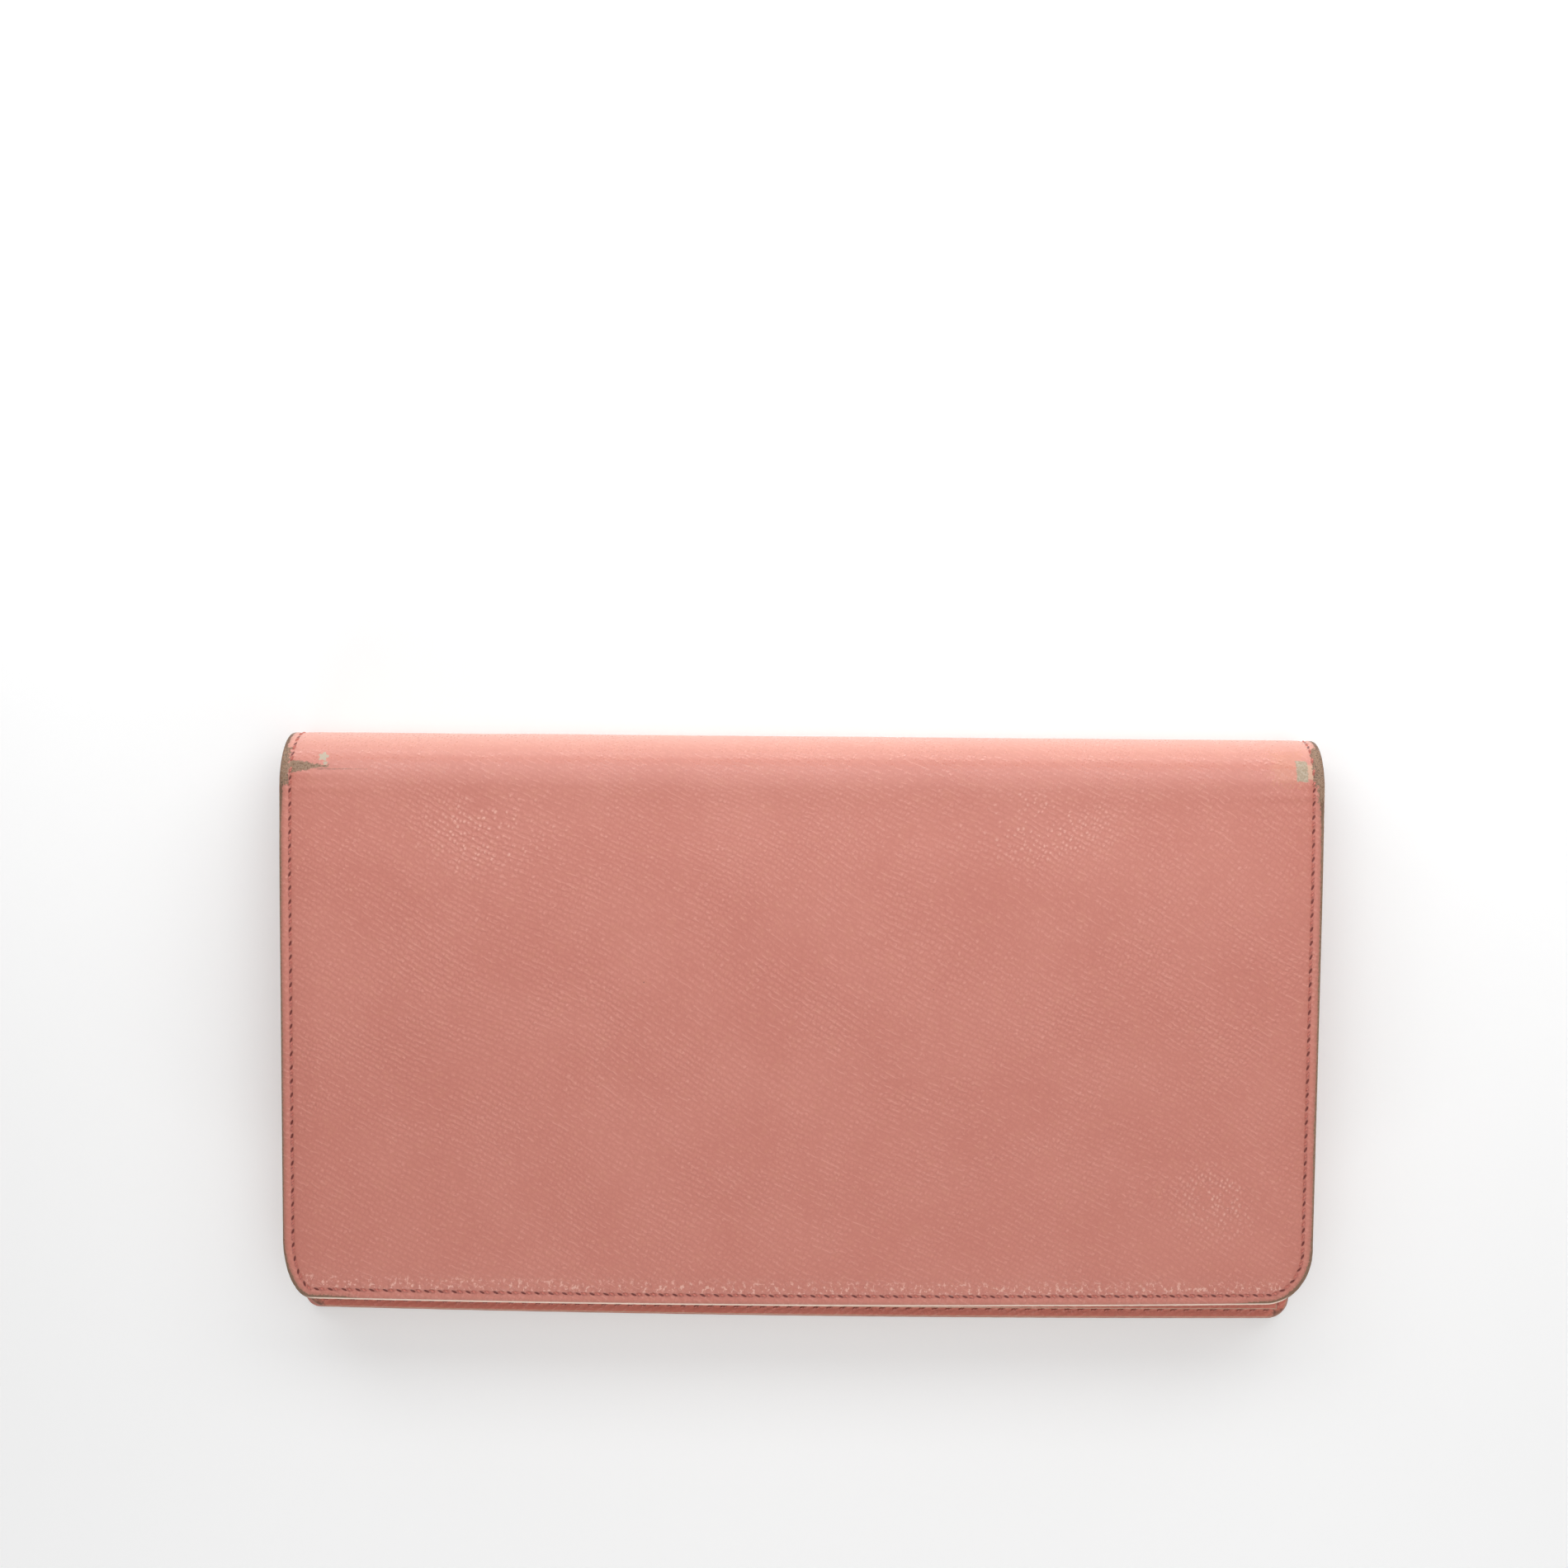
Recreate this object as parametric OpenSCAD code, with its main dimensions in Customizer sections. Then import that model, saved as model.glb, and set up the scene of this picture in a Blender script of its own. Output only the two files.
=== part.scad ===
// Long bifold wallet, closed, lying on its back cover.
// X runs along the fold, +Y points to the fold, +Z points up out of the front cover.

/* [Covers] */
// Width along the fold, mm
wallet_w = 190; // [170:1:210]
// Back cover from its free edge to the crown of the fold, mm
back_len = 112; // [95:0.5:125]
// Front cover from its free edge to the crown of the fold, mm
front_len = 104.5; // [90:0.5:120]
// Thickness of the closed wallet, mm
wallet_t = 20; // [19.5:0.5:24]
// Thickness of the outer leather, mm
leather_t = 1.3; // [1:0.1:2]
// Thickness of the lining layer, mm
lining_t = 1.2; // [1:0.1:2]
// Thickness of the stiffening board inside the lining layer, mm
board_t = 0.6; // [0.3:0.1:0.8]
// Corner radius at the front cover's free edge, mm
front_corner_r = 9; // [4:0.5:12]
// Corner radius at the back cover's free edge, mm
back_corner_r = 4; // [4:0.5:12]
// Rounding of the fold's two ends, mm
crown_corner_r = 4; // [2:0.5:6]

/* [Stitching] */
// Distance from stitch to stitch along the seam, mm
stitch_pitch = 2.55; // [2:0.05:4]
// Visible length of one stitch, mm
stitch_len = 1.75; // [1:0.05:3]
// Thread width, mm
thread_w = 0.5; // [0.3:0.05:0.8]
// Distance from the cut edge to the seam, mm
seam_inset = 1.9; // [1.5:0.1:4]
// Slant of each stitch from the seam line, degrees
stitch_slant = 12; // [0:1:25]

/* [Card side] */
// Height of the bill pocket's mouth above the centre line, mm
bill_mouth_y = 41; // [30:1:43]
// Mouth of the highest card slot above the centre line, mm
slot_mouth_y = 30; // [20:1:34]
// Step from one card slot to the next, mm
slot_step = 12; // [8:0.5:14]
// Height of one card slot layer, mm
slot_layer = 1; // [0.8:0.05:1]
// Depth a card goes into its slot, mm
slot_depth = 45; // [40:1:50]

/* [Coin side] */
// Depth of the coin space from panel to back wall, mm
coin_space = 3.8; // [2:0.1:3.9]
// Centre line of the zip above the wallet's centre line, mm
zip_y = 36.5; // [30:0.5:38]
// Length of the window for the zip, mm
zip_window_l = 152; // [100:1:160]
// Width of the window for the zip, mm
zip_window_w = 6; // [5:0.5:8]
// Slider position from the centre when the zip is closed, mm
slider_x = -62; // [-70:1:0]
// Distance from tooth to tooth, mm
tooth_pitch = 1.5; // [1:0.1:2.5]
// Length of the metal pull from its eye to its tip, mm
pull_l = 17; // [10:1:25]

/* [Hidden] */
$fn = 64;
fold_r = wallet_t / 2;
crown_y = back_len / 2;
fold_y = crown_y - fold_r;
back_y = -back_len / 2;
front_y = crown_y - front_len;
cover_t = leather_t + lining_t;
joint_gap = 1.1;
fold_joints = 3;
fold_step = 180 / fold_joints;
edge_step = 0.5;
board_inset = 4;
groove_w = 1.1;
groove_d = 0.35;
thread_t = 0.3;
rim_side = 3.5;
rim_centre = 1.2;
bill_t = 1;
bill_slit = 0.4;
slot_slit = 0.35;
card_z = cover_t + bill_t;
slip_t = 1.2;
slip_z = wallet_t - cover_t - slip_t;
coin_wall = 0.5;
coin_side = 1;
panel_t = 0.8;
coin_z = slip_z - coin_wall - coin_space;
panel_z = coin_z - panel_t;
tape_t = 0.4;
tooth_d = 0.65;
tooth_h = 1.2;
rows_gap = 0.9;
row_teeth = floor((zip_window_l / 2 - 7) / tooth_pitch);
tape_w = 4.2;
slider_l = 9;
slider_w = 5;
slider_gap = 0.3;
plate_t = 0.6;
tooth_z = coin_z - 0.4;
slider_z = tooth_z - slider_gap - plate_t;
bridge_h = 1.4;
bridge_bar = 0.4;
pull_t = 0.5;
pull_pivot_x = 2.7;
eye_r = 2.3;
eye_hole_r = 1.3;

// A sheet outline from y0 to y1 with round corners at y0.
module outline(w, y0, y1, r) {
    translate([-w / 2, y0 + r])
        square([w, y1 - y0 - r]);
    translate([-w / 2 + r, y0])
        square([w - 2 * r, r + 0.01]);
    for (side = [-1, 1])
        translate([side * (w / 2 - r), y0 + r])
            circle(r);
}

// A flat sheet whose underside is at z.
module sheet(w, y0, y1, r, z, t) {
    translate([0, 0, z])
        linear_extrude(t)
            outline(w, y0, y1, r);
}

// The wallet seen from above, with the fold's two ends rounded.
module crown_prism() {
    linear_extrude(wallet_t)
        mirror([0, 1])
            outline(wallet_w, -crown_y, 60, crown_corner_r);
}

// A strip of the fold from angle a0 to a1, between radii r0 and r1; 0 is the back cover's side.
module fold_strip(a0, a1, r0, r1) {
    far = 2 * fold_r;
    intersection() {
        translate([-wallet_w / 2, fold_y, fold_r])
            rotate([90, 0, 90])
                linear_extrude(wallet_w)
                    intersection() {
                        difference() {
                            circle(r1);
                            circle(r0);
                        }
                        polygon([[0, 0],
                            [far * sin(a0), -far * cos(a0)],
                            [far * sin((a0 + a1) / 2), -far * cos((a0 + a1) / 2)],
                            [far * sin(a1), -far * cos(a1)]]);
                    }
        crown_prism();
    }
}

// The seam's groove in a cover face, from z upward.
module seam_groove(y0, r, z) {
    outer = seam_inset - groove_w / 2;
    inner = seam_inset + groove_w / 2;
    translate([0, 0, z])
        linear_extrude(groove_d)
            difference() {
                outline(wallet_w - 2 * outer, y0 + outer, fold_y - 1, r - outer);
                outline(wallet_w - 2 * inner, y0 + inner, fold_y, r - inner);
            }
}

// Lengths of the seam's straight side, its corner and its bottom run.
function seam_side(y0, r) = fold_y - 2 - y0 - r;
function seam_corner(r) = (r - seam_inset) * PI / 2;
function seam_bottom(r) = wallet_w - 2 * r;
function seam_half(y0, r) = seam_side(y0, r) + seam_corner(r) + seam_bottom(r) / 2;

// Point and direction on the right half of the seam, s measured from the bottom's middle.
function seam_point(s, y0, r) =
    let (b = seam_bottom(r) / 2, c = seam_corner(r), q = r - seam_inset)
    s < b ? [s, y0 + seam_inset, 0]
    : s < b + c ? let (a = (s - b) / q * 180 / PI)
        [wallet_w / 2 - r + q * sin(a), y0 + r - q * cos(a), a]
    : [wallet_w / 2 - seam_inset, y0 + r + s - b - c, 90];

// The thread lying in the seam's groove: one slanted stitch after another on three sides.
module seam_thread(y0, r, z) {
    n = floor(seam_half(y0, r) / stitch_pitch - 0.5);
    for (side = [0, 1])
        mirror([side, 0, 0])
            for (i = [0:n]) {
                p = seam_point((i + 0.5) * stitch_pitch, y0, r);
                translate([p[0], p[1], z])
                    rotate([0, 0, p[2] + (side == 0 ? stitch_slant : -stitch_slant)])
                        translate([-stitch_len / 2, -thread_w / 2, 0])
                            cube([stitch_len, thread_w, thread_t]);
            }
}

// Board under the lining of a cover, z the board's underside.
module board(y0, r, z) {
    w = wallet_w - 2 * board_inset;
    sheet(w, y0 + board_inset, fold_y - 2, r - board_inset / 2, z, board_t);
}

// One card slot: a panel whose slit side lies on the layer below; k counts from the fold side.
module card_slot(side, k) {
    x0 = 0.6;
    x1 = wallet_w / 2 - 3.4;
    y0 = back_y + 3.4;
    y1 = slot_mouth_y - slot_step * (k - 1);
    z = card_z + slot_layer * (k - 1);
    inner_w = x1 - x0 - rim_side - rim_centre;
    mirror([side < 0 ? 1 : 0, 0, 0])
        difference() {
            translate([x0, y0, z])
                cube([x1 - x0, y1 - y0, slot_layer]);
            translate([x0 + rim_centre, y1 - slot_depth, z - 1])
                cube([inner_w, slot_depth + 1, slot_slit + 1]);
        }
}

// One row of zip teeth; side -1 is the row nearer the free edge.
module teeth(side) {
    n = row_teeth;
    y = zip_y + side * (rows_gap + tooth_d) / 2;
    for (i = [-n:n])
        translate([(i + side / 4) * tooth_pitch, y, tooth_z + tooth_h / 2])
            cube([tooth_pitch * 0.55, tooth_d, tooth_h], center = true);
}

// One zip tape, sewn under the coin panel.
module tape(side) {
    y = zip_y + side * (rows_gap / 2 + tooth_d + tape_w / 2);
    translate([0, y, coin_z + tape_t / 2])
        cube([zip_window_l + 8, tape_w, tape_t], center = true);
}

module back_cover() {
    color("#c97f70")
        difference() {
            union() {
                sheet(wallet_w, back_y, fold_y, back_corner_r, 0, leather_t);
                fold_strip(0, fold_step / 2 - joint_gap, fold_r - leather_t, fold_r);
            }
            seam_groove(back_y, back_corner_r, 0);
        }
}

module back_board() {
    color("#b79f7d")
        board(back_y, back_corner_r, leather_t);
}

module back_lining() {
    color("#a8675b")
        difference() {
            union() {
                sheet(wallet_w - edge_step, back_y + edge_step / 2, fold_y, back_corner_r,
                    leather_t, lining_t);
                fold_strip(0, fold_step / 2 - joint_gap, fold_r - cover_t, fold_r - leather_t);
            }
            board(back_y, back_corner_r, leather_t);
        }
}

module back_seam_outer() {
    color("#8f3f3a")
        seam_thread(back_y, back_corner_r, groove_d - thread_t);
}

module back_seam_inner() {
    color("#8f3f3a")
        seam_thread(back_y, back_corner_r, card_z - groove_d);
}

module bill_pocket() {
    w = wallet_w - 2 * edge_step;
    color("#c47a6b")
        difference() {
            sheet(w, back_y + edge_step, bill_mouth_y, back_corner_r, cover_t, bill_t);
            sheet(w - 2 * rim_side, back_y + rim_side, bill_mouth_y + 1, back_corner_r - 1,
                cover_t - 1, bill_slit + 1);
            seam_groove(back_y, back_corner_r, card_z - groove_d);
        }
}

module card_slot_left_1() {
    color("#c97f70")
        card_slot(-1, 1);
}

module card_slot_left_2() {
    color("#c97f70")
        card_slot(-1, 2);
}

module card_slot_left_3() {
    color("#c97f70")
        card_slot(-1, 3);
}

module card_slot_left_4() {
    color("#c97f70")
        card_slot(-1, 4);
}

module card_slot_right_1() {
    color("#c97f70")
        card_slot(1, 1);
}

module card_slot_right_2() {
    color("#c97f70")
        card_slot(1, 2);
}

module card_slot_right_3() {
    color("#c97f70")
        card_slot(1, 3);
}

module card_slot_right_4() {
    color("#c97f70")
        card_slot(1, 4);
}

// Strip k of the fold's outer leather, counted from the back cover.
module spine_leather(k) {
    color("#d08a7b")
        fold_strip(fold_step * (k - 0.5) + joint_gap, fold_step * (k + 0.5) - joint_gap,
            fold_r - leather_t, fold_r);
}

// Strip k of the fold's lining.
module spine_lining(k) {
    color("#a8675b")
        fold_strip(fold_step * (k - 0.5) + joint_gap, fold_step * (k + 0.5) - joint_gap,
            fold_r - cover_t, fold_r - leather_t);
}

module spine_leather_1() {
    spine_leather(1);
}

module spine_leather_2() {
    spine_leather(2);
}

module spine_lining_1() {
    spine_lining(1);
}

module spine_lining_2() {
    spine_lining(2);
}

module front_cover() {
    color("#c97f70")
        difference() {
            union() {
                sheet(wallet_w, front_y, fold_y, front_corner_r, wallet_t - leather_t, leather_t);
                fold_strip(180 - fold_step / 2 + joint_gap, 180, fold_r - leather_t, fold_r);
            }
            seam_groove(front_y, front_corner_r, wallet_t - groove_d);
        }
}

module front_board() {
    color("#b79f7d")
        board(front_y, front_corner_r, wallet_t - leather_t - board_t);
}

module front_lining() {
    color("#a8675b")
        difference() {
            union() {
                sheet(wallet_w - edge_step, front_y + edge_step / 2, fold_y, front_corner_r,
                    wallet_t - cover_t, lining_t);
                fold_strip(180 - fold_step / 2 + joint_gap, 180, fold_r - cover_t, fold_r - leather_t);
            }
            board(front_y, front_corner_r, wallet_t - leather_t - board_t);
        }
}

module front_seam_outer() {
    color("#8f3f3a")
        seam_thread(front_y, front_corner_r, wallet_t - groove_d);
}

module front_seam_inner() {
    color("#8f3f3a")
        seam_thread(front_y, front_corner_r, slip_z + groove_d - thread_t);
}

module slip_pocket() {
    w = wallet_w - 2 * edge_step;
    color("#a8675b")
        difference() {
            sheet(w, front_y + edge_step, bill_mouth_y + 2, front_corner_r, slip_z, slip_t);
            sheet(w - 2 * rim_side, front_y + rim_side, bill_mouth_y + 3, front_corner_r - 3,
                slip_z + slip_t - bill_slit, bill_slit + 1);
            seam_groove(front_y, front_corner_r, slip_z);
        }
}

module coin_lining() {
    w = wallet_w - 6;
    y0 = front_y + 3;
    y1 = bill_mouth_y + 2;
    r = front_corner_r - 3;
    color("#b9a58f")
        difference() {
            sheet(w, y0, y1, r, coin_z, coin_space + coin_wall);
            sheet(w - 2 * coin_side, y0 + coin_side, y1 - coin_side, r - coin_side,
                coin_z - 1, coin_space + 1);
        }
}

module coin_panel() {
    w = wallet_w - 4;
    r = front_corner_r - 2;
    window_r = zip_window_w / 2;
    color("#c97f70")
        difference() {
            sheet(w, front_y + 2, bill_mouth_y + 3, r, panel_z, panel_t);
            translate([0, zip_y, panel_z - 1]) {
                linear_extrude(panel_t + 2) {
                    square([zip_window_l - zip_window_w, zip_window_w], center = true);
                    for (side = [-1, 1])
                        translate([side * (zip_window_l - zip_window_w) / 2, 0])
                            circle(window_r);
                }
            }
        }
}

module zip_tape_lower() {
    color("#b57468")
        tape(-1);
}

module zip_tape_upper() {
    color("#b57468")
        tape(1);
}

module zip_teeth_lower() {
    color("#c9a35a")
        teeth(-1);
}

module zip_teeth_upper() {
    color("#c9a35a")
        teeth(1);
}

// Two stops beside the rows at the closed end, and one across both rows at the open end.
module zip_stops() {
    x = (row_teeth + 1) * tooth_pitch + 0.8;
    row_y = (rows_gap + tooth_d) / 2;
    color("#c9a35a") {
        for (side = [-1, 1])
            translate([-x, zip_y + side * row_y, tooth_z + tooth_h / 2])
                cube([1.6, tooth_d, tooth_h], center = true);
        translate([x, zip_y, tooth_z + tooth_h / 2])
            cube([1.6, rows_gap + 2 * tooth_d, tooth_h], center = true);
    }
}

// Slider: two plates joined by a thin post between the rows, and a bridge for the pull.
module zip_slider() {
    inner_h = tooth_h + 2 * slider_gap;
    nose_r = slider_w / 2;
    color("#c9a35a")
        translate([slider_x, zip_y, 0])
            difference() {
                union() {
                    for (z = [slider_z, slider_z + plate_t + inner_h])
                        translate([0, 0, z])
                            linear_extrude(plate_t) {
                                translate([-slider_l / 2 + nose_r, 0])
                                    circle(nose_r);
                                translate([-slider_l / 2 + nose_r, -slider_w / 2])
                                    square([slider_l - nose_r, slider_w]);
                            }
                    translate([-1.5, -0.15, slider_z + plate_t - 0.1])
                        cube([3, 0.3, inner_h + 0.2]);
                    translate([-3.2, -0.6, slider_z - bridge_h])
                        cube([6.4, 1.2, bridge_h + 0.1]);
                }
                translate([-2.2, -1, slider_z - bridge_h + bridge_bar])
                    cube([4.4, 2, bridge_h - bridge_bar]);
            }
}

// Pull: an eye round the bridge's foot, a neck, and a tab with a round tip and a hole.
module zip_pull() {
    z = slider_z - (bridge_h - bridge_bar) / 2 - pull_t / 2;
    tab_r = 2.2;
    color("#c9a35a")
        translate([slider_x + pull_pivot_x, zip_y, z])
            linear_extrude(pull_t)
                difference() {
                    union() {
                        circle(eye_r);
                        translate([0, -0.9])
                            square([pull_l - tab_r, 1.8]);
                        translate([6, -tab_r])
                            square([pull_l - tab_r - 6, 2 * tab_r]);
                        translate([pull_l - tab_r, 0])
                            circle(tab_r);
                    }
                    circle(eye_hole_r);
                    translate([pull_l - tab_r, 0])
                        circle(1);
                }
}

back_cover();
back_board();
back_lining();
back_seam_outer();
back_seam_inner();
bill_pocket();
card_slot_left_1();
card_slot_left_2();
card_slot_left_3();
card_slot_left_4();
card_slot_right_1();
card_slot_right_2();
card_slot_right_3();
card_slot_right_4();
spine_leather_1();
spine_leather_2();
spine_lining_1();
spine_lining_2();
front_cover();
front_board();
front_lining();
front_seam_outer();
front_seam_inner();
slip_pocket();
coin_lining();
coin_panel();
zip_tape_lower();
zip_tape_upper();
zip_teeth_lower();
zip_teeth_upper();
zip_stops();
zip_slider();
zip_pull();
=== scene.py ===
import math

import bpy
import numpy as np
from mathutils import Euler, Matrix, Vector, kdtree


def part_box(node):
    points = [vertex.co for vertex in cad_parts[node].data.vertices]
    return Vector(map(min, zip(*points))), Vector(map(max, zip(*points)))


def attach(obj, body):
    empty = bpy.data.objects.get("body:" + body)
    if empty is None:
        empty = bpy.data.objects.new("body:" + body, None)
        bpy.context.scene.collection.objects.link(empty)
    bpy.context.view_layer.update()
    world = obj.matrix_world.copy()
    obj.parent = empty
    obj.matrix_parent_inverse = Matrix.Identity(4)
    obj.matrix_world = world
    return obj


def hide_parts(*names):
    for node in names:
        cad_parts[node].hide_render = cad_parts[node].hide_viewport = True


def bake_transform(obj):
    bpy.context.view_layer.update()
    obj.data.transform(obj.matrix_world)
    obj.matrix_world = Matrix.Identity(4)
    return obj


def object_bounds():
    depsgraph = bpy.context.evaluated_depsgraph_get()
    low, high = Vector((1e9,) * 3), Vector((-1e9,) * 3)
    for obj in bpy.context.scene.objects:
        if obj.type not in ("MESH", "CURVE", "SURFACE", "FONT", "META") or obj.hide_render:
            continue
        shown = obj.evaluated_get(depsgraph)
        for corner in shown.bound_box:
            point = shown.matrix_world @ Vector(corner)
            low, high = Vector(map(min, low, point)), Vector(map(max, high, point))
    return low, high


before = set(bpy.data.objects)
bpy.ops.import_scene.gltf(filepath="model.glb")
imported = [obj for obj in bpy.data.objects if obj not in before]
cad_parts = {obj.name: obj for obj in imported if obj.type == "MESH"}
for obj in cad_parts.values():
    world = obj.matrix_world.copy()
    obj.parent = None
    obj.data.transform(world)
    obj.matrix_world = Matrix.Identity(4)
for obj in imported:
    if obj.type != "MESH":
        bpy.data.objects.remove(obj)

cad_low, cad_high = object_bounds()
rng = np.random.default_rng(48)

# ---------------------------------------------------------------- sizes, mm
MM = 0.001


def low(node):
    return np.array(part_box(node)[0]) / MM


def high(node):
    return np.array(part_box(node)[1]) / MM


WIDTH = 2 * high("front_cover")[0]
THICK = high("front_cover")[2]
FOLD_R = THICK / 2
CROWN_Y = round(cad_high.y / MM, 1)
FOLD_Y = CROWN_Y - FOLD_R
BACK_Y = low("back_cover")[1]
FRONT_Y = low("front_cover")[1]
COVER_T = low("bill_pocket")[2]
FLAT_BACK = FOLD_Y - BACK_Y
ARC = math.pi * FOLD_R
FLAT_FRONT = FOLD_Y - FRONT_Y
SHEET_L = FLAT_BACK + ARC + FLAT_FRONT
STRIPS = 3
STRIP_ARC = ARC / STRIPS

BACK_CORNER = {-1: 2.8, 1: 4.0}  # radius, by side
FRONT_CORNER = {-1: (5.2, 11.0), 1: (8.4, 10.2)}  # across and along, by side
CORNER_ROWS = 11.0
PINCH = {-1: (0.45, 3.5), 1: (0.15, 1.5)}  # how far the fold's ends draw in, and how fast it fades
INSET = 1.9
PITCH = 2.55
ROLL = 0.85  # width of the rounded rim
ROLL_DROP = 0.5
SHOULDER = 0.7  # how far the cover slopes off towards the fold
SWELL = 0.42  # how much lower the rim lies than the padded middle
LOOP_STEP = 0.1  # spacing of the points on the outline and the seam line
POCKET_GROOVE = 0.14  # how deep the seams lie in the pocket leather
SKIN_GAP = 0.01  # kept between faces that would otherwise lie in one plane
SLOT_SEAM = (1.3, 1.5)  # the card slots' seam: inset from their sides, and from their mouths
SMALL_STITCH = {"length": 1.6, "radius": 0.2}
WINDOW_HALF = (75.5, 3.0)  # the coin panel's zip window
WINDOW_SEAM = 1.6
TOOTH_PITCH = 1.5


def smooth(t):
    t = np.clip(t, 0, 1)
    return t * t * (3 - 2 * t)


def ripple(x, y, length, seed):
    """Soft random waves of about that length, from -1 to 1."""
    r = np.random.default_rng(seed)
    total = 0
    for _ in range(6):
        a = r.uniform(0, 2 * math.pi)
        k = 2 * math.pi / (length * r.uniform(0.7, 1.6))
        total = total + np.sin(k * (x * math.cos(a) + y * math.sin(a)) + r.uniform(0, 6.28))
    return total / 6


# ---------------------------------------------------------------- the cover's flat pattern
def at_angle(degrees):
    """Place on the flat pattern at that angle round the fold; 180 is the front's side."""
    return FLAT_BACK + math.radians(degrees) * FOLD_R


def half_width(s, side):
    """Half width of the flat pattern at arc length s from the back's free edge."""
    s = np.asarray(s, float)
    phi = np.clip((s - FLAT_BACK) / FOLD_R, 0, math.pi)
    amount, fade = PINCH[side]
    drawn = np.exp((np.sin(phi) - 1) * FOLD_R / fade) - math.exp(-FOLD_R / fade)
    w = WIDTH / 2 - amount * drawn
    t = np.clip(1 - s / BACK_CORNER[side], 0, 1)
    w = w - BACK_CORNER[side] * (1 - np.sqrt(1 - t * t))
    across, along = FRONT_CORNER[side]
    t = np.clip(1 - (SHEET_L - s) / along, 0, 1)
    return w - across * (1 - np.sqrt(1 - t * t))


def settled(x, y, upper):
    """y after years of use: the free edges bow out and no longer lie quite square."""
    u = x / (WIDTH / 2)
    w_front = np.clip((FRONT_Y + 40 - y) / 40, 0, 1) ** 2
    w_back = np.clip((BACK_Y + 30 - y) / 30, 0, 1) ** 2
    front = w_front * (0.37 - 0.96 * (1 - u * u) + 0.34 * u)
    back = w_back * (-0.71 * (1 - u * u) - 0.22 * u)
    return y + np.where(upper, front, back)


def on_sheet(x, s, d):
    """A point of the flat pattern, d below its outer face, on the closed wallet."""
    phi = np.clip((s - FLAT_BACK) / FOLD_R, 0, math.pi)
    r = FOLD_R - d
    y = FOLD_Y + r * np.sin(phi) + np.minimum(s - FLAT_BACK, 0)
    y = settled(x, y - np.maximum(s - FLAT_BACK - ARC, 0), s > FLAT_BACK + ARC / 2)
    return np.stack([x + 0 * s, y, FOLD_R - r * np.cos(phi)], -1)


def sheet_rows():
    quarter = np.linspace(0, math.pi / 2, 20)
    back = BACK_CORNER[1] * (1 - np.cos(quarter))
    flat1 = np.arange(BACK_CORNER[1], FLAT_BACK - 5, 0.9)
    fold = [FLAT_BACK + STRIP_ARC * np.linspace(k, k + 1, 31) for k in range(STRIPS)]
    flat2 = np.arange(FLAT_BACK - 5, FLAT_BACK, 0.5)
    flat3 = np.arange(FLAT_BACK + ARC + 0.4, FLAT_BACK + ARC + 8, 0.45)
    flat4 = np.arange(FLAT_BACK + ARC + 8, SHEET_L - CORNER_ROWS, 0.8)
    front = SHEET_L - CORNER_ROWS * (1 - np.cos(np.linspace(0, math.pi / 2, 28)))
    rows = np.concatenate([back, flat1, flat2, *fold, flat3, flat4, front])
    return np.unique(np.round(rows, 4))


# a piece's rows and columns crowd towards its rim: their distances from it
RIM_STEPS = [0, 0.1, 0.24, 0.42, 0.64, 0.9, 1.2, 1.5, 1.8, 2.1, 2.5, 3.0, 3.6, 4.3]
RIM_REACH = RIM_STEPS[-1]


def columns(half, step):
    """Shares from -1 to 1 across a piece, closest together by its rims."""
    inner = np.linspace(half - RIM_REACH, 0, max(2, int((half - RIM_REACH) / step)))[1:]
    q = np.concatenate([half - np.array(RIM_STEPS), inner]) / half
    return np.concatenate([-q, q[::-1][1:]])


def resample(points, step):
    """(points a fixed step apart on a closed loop, their arc lengths, the loop's length)."""
    p = np.vstack([points, points[:1]])
    length = np.concatenate([[0], np.cumsum(np.linalg.norm(np.diff(p, axis=0), axis=1))])
    n = int(round(length[-1] / step))
    u = np.arange(n) * length[-1] / n
    return np.stack([np.interp(u, length, p[:, k]) for k in (0, 1)], 1), u, length[-1]


def tangents(loop, reach):
    """Unit directions along a closed loop, from the points that many places on either side."""
    t = np.roll(loop, -reach, 0) - np.roll(loop, reach, 0)
    return t / np.linalg.norm(t, axis=1)[:, None]


def inward(loop):
    t = tangents(loop, 6)
    return np.stack([-t[:, 1], t[:, 0]], 1)


rows_s = sheet_rows()
dense = np.unique(
    np.concatenate(
        [rows_s, SHEET_L - CORNER_ROWS * (1 - np.cos(np.linspace(0, math.pi / 2, 90)))]
    )
)
right = np.stack([half_width(dense, 1), dense], 1)
left = np.stack([-half_width(dense, -1), dense], 1)[::-1]
outline = resample(np.vstack([right, left]), LOOP_STEP)[0]
seam_loop, seam_u, seam_len = resample(outline + INSET * inward(outline), LOOP_STEP)


def tree_of(points):
    tree = kdtree.KDTree(len(points))
    for i, p in enumerate(points):
        tree.insert((p[0], p[1], 0), i)
    tree.balance()
    return tree


outline_tree, seam_tree = tree_of(outline), tree_of(seam_loop)
FAR = 9.0


def rim_fields(x, s):
    """For each point: distance to the outline, and place along the seam."""
    v = np.full(x.shape, FAR)
    u = np.zeros(x.shape)
    near = (np.abs(x) > WIDTH / 2 - FAR - 4) | (s < FAR) | (s > SHEET_L - FAR - 1)
    for i in np.argwhere(near):
        i = tuple(i)
        p = (x[i], s[i], 0)
        v[i] = min(FAR, outline_tree.find(p)[2])
        u[i] = seam_u[seam_tree.find(p)[1]]
    return v, u


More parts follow.
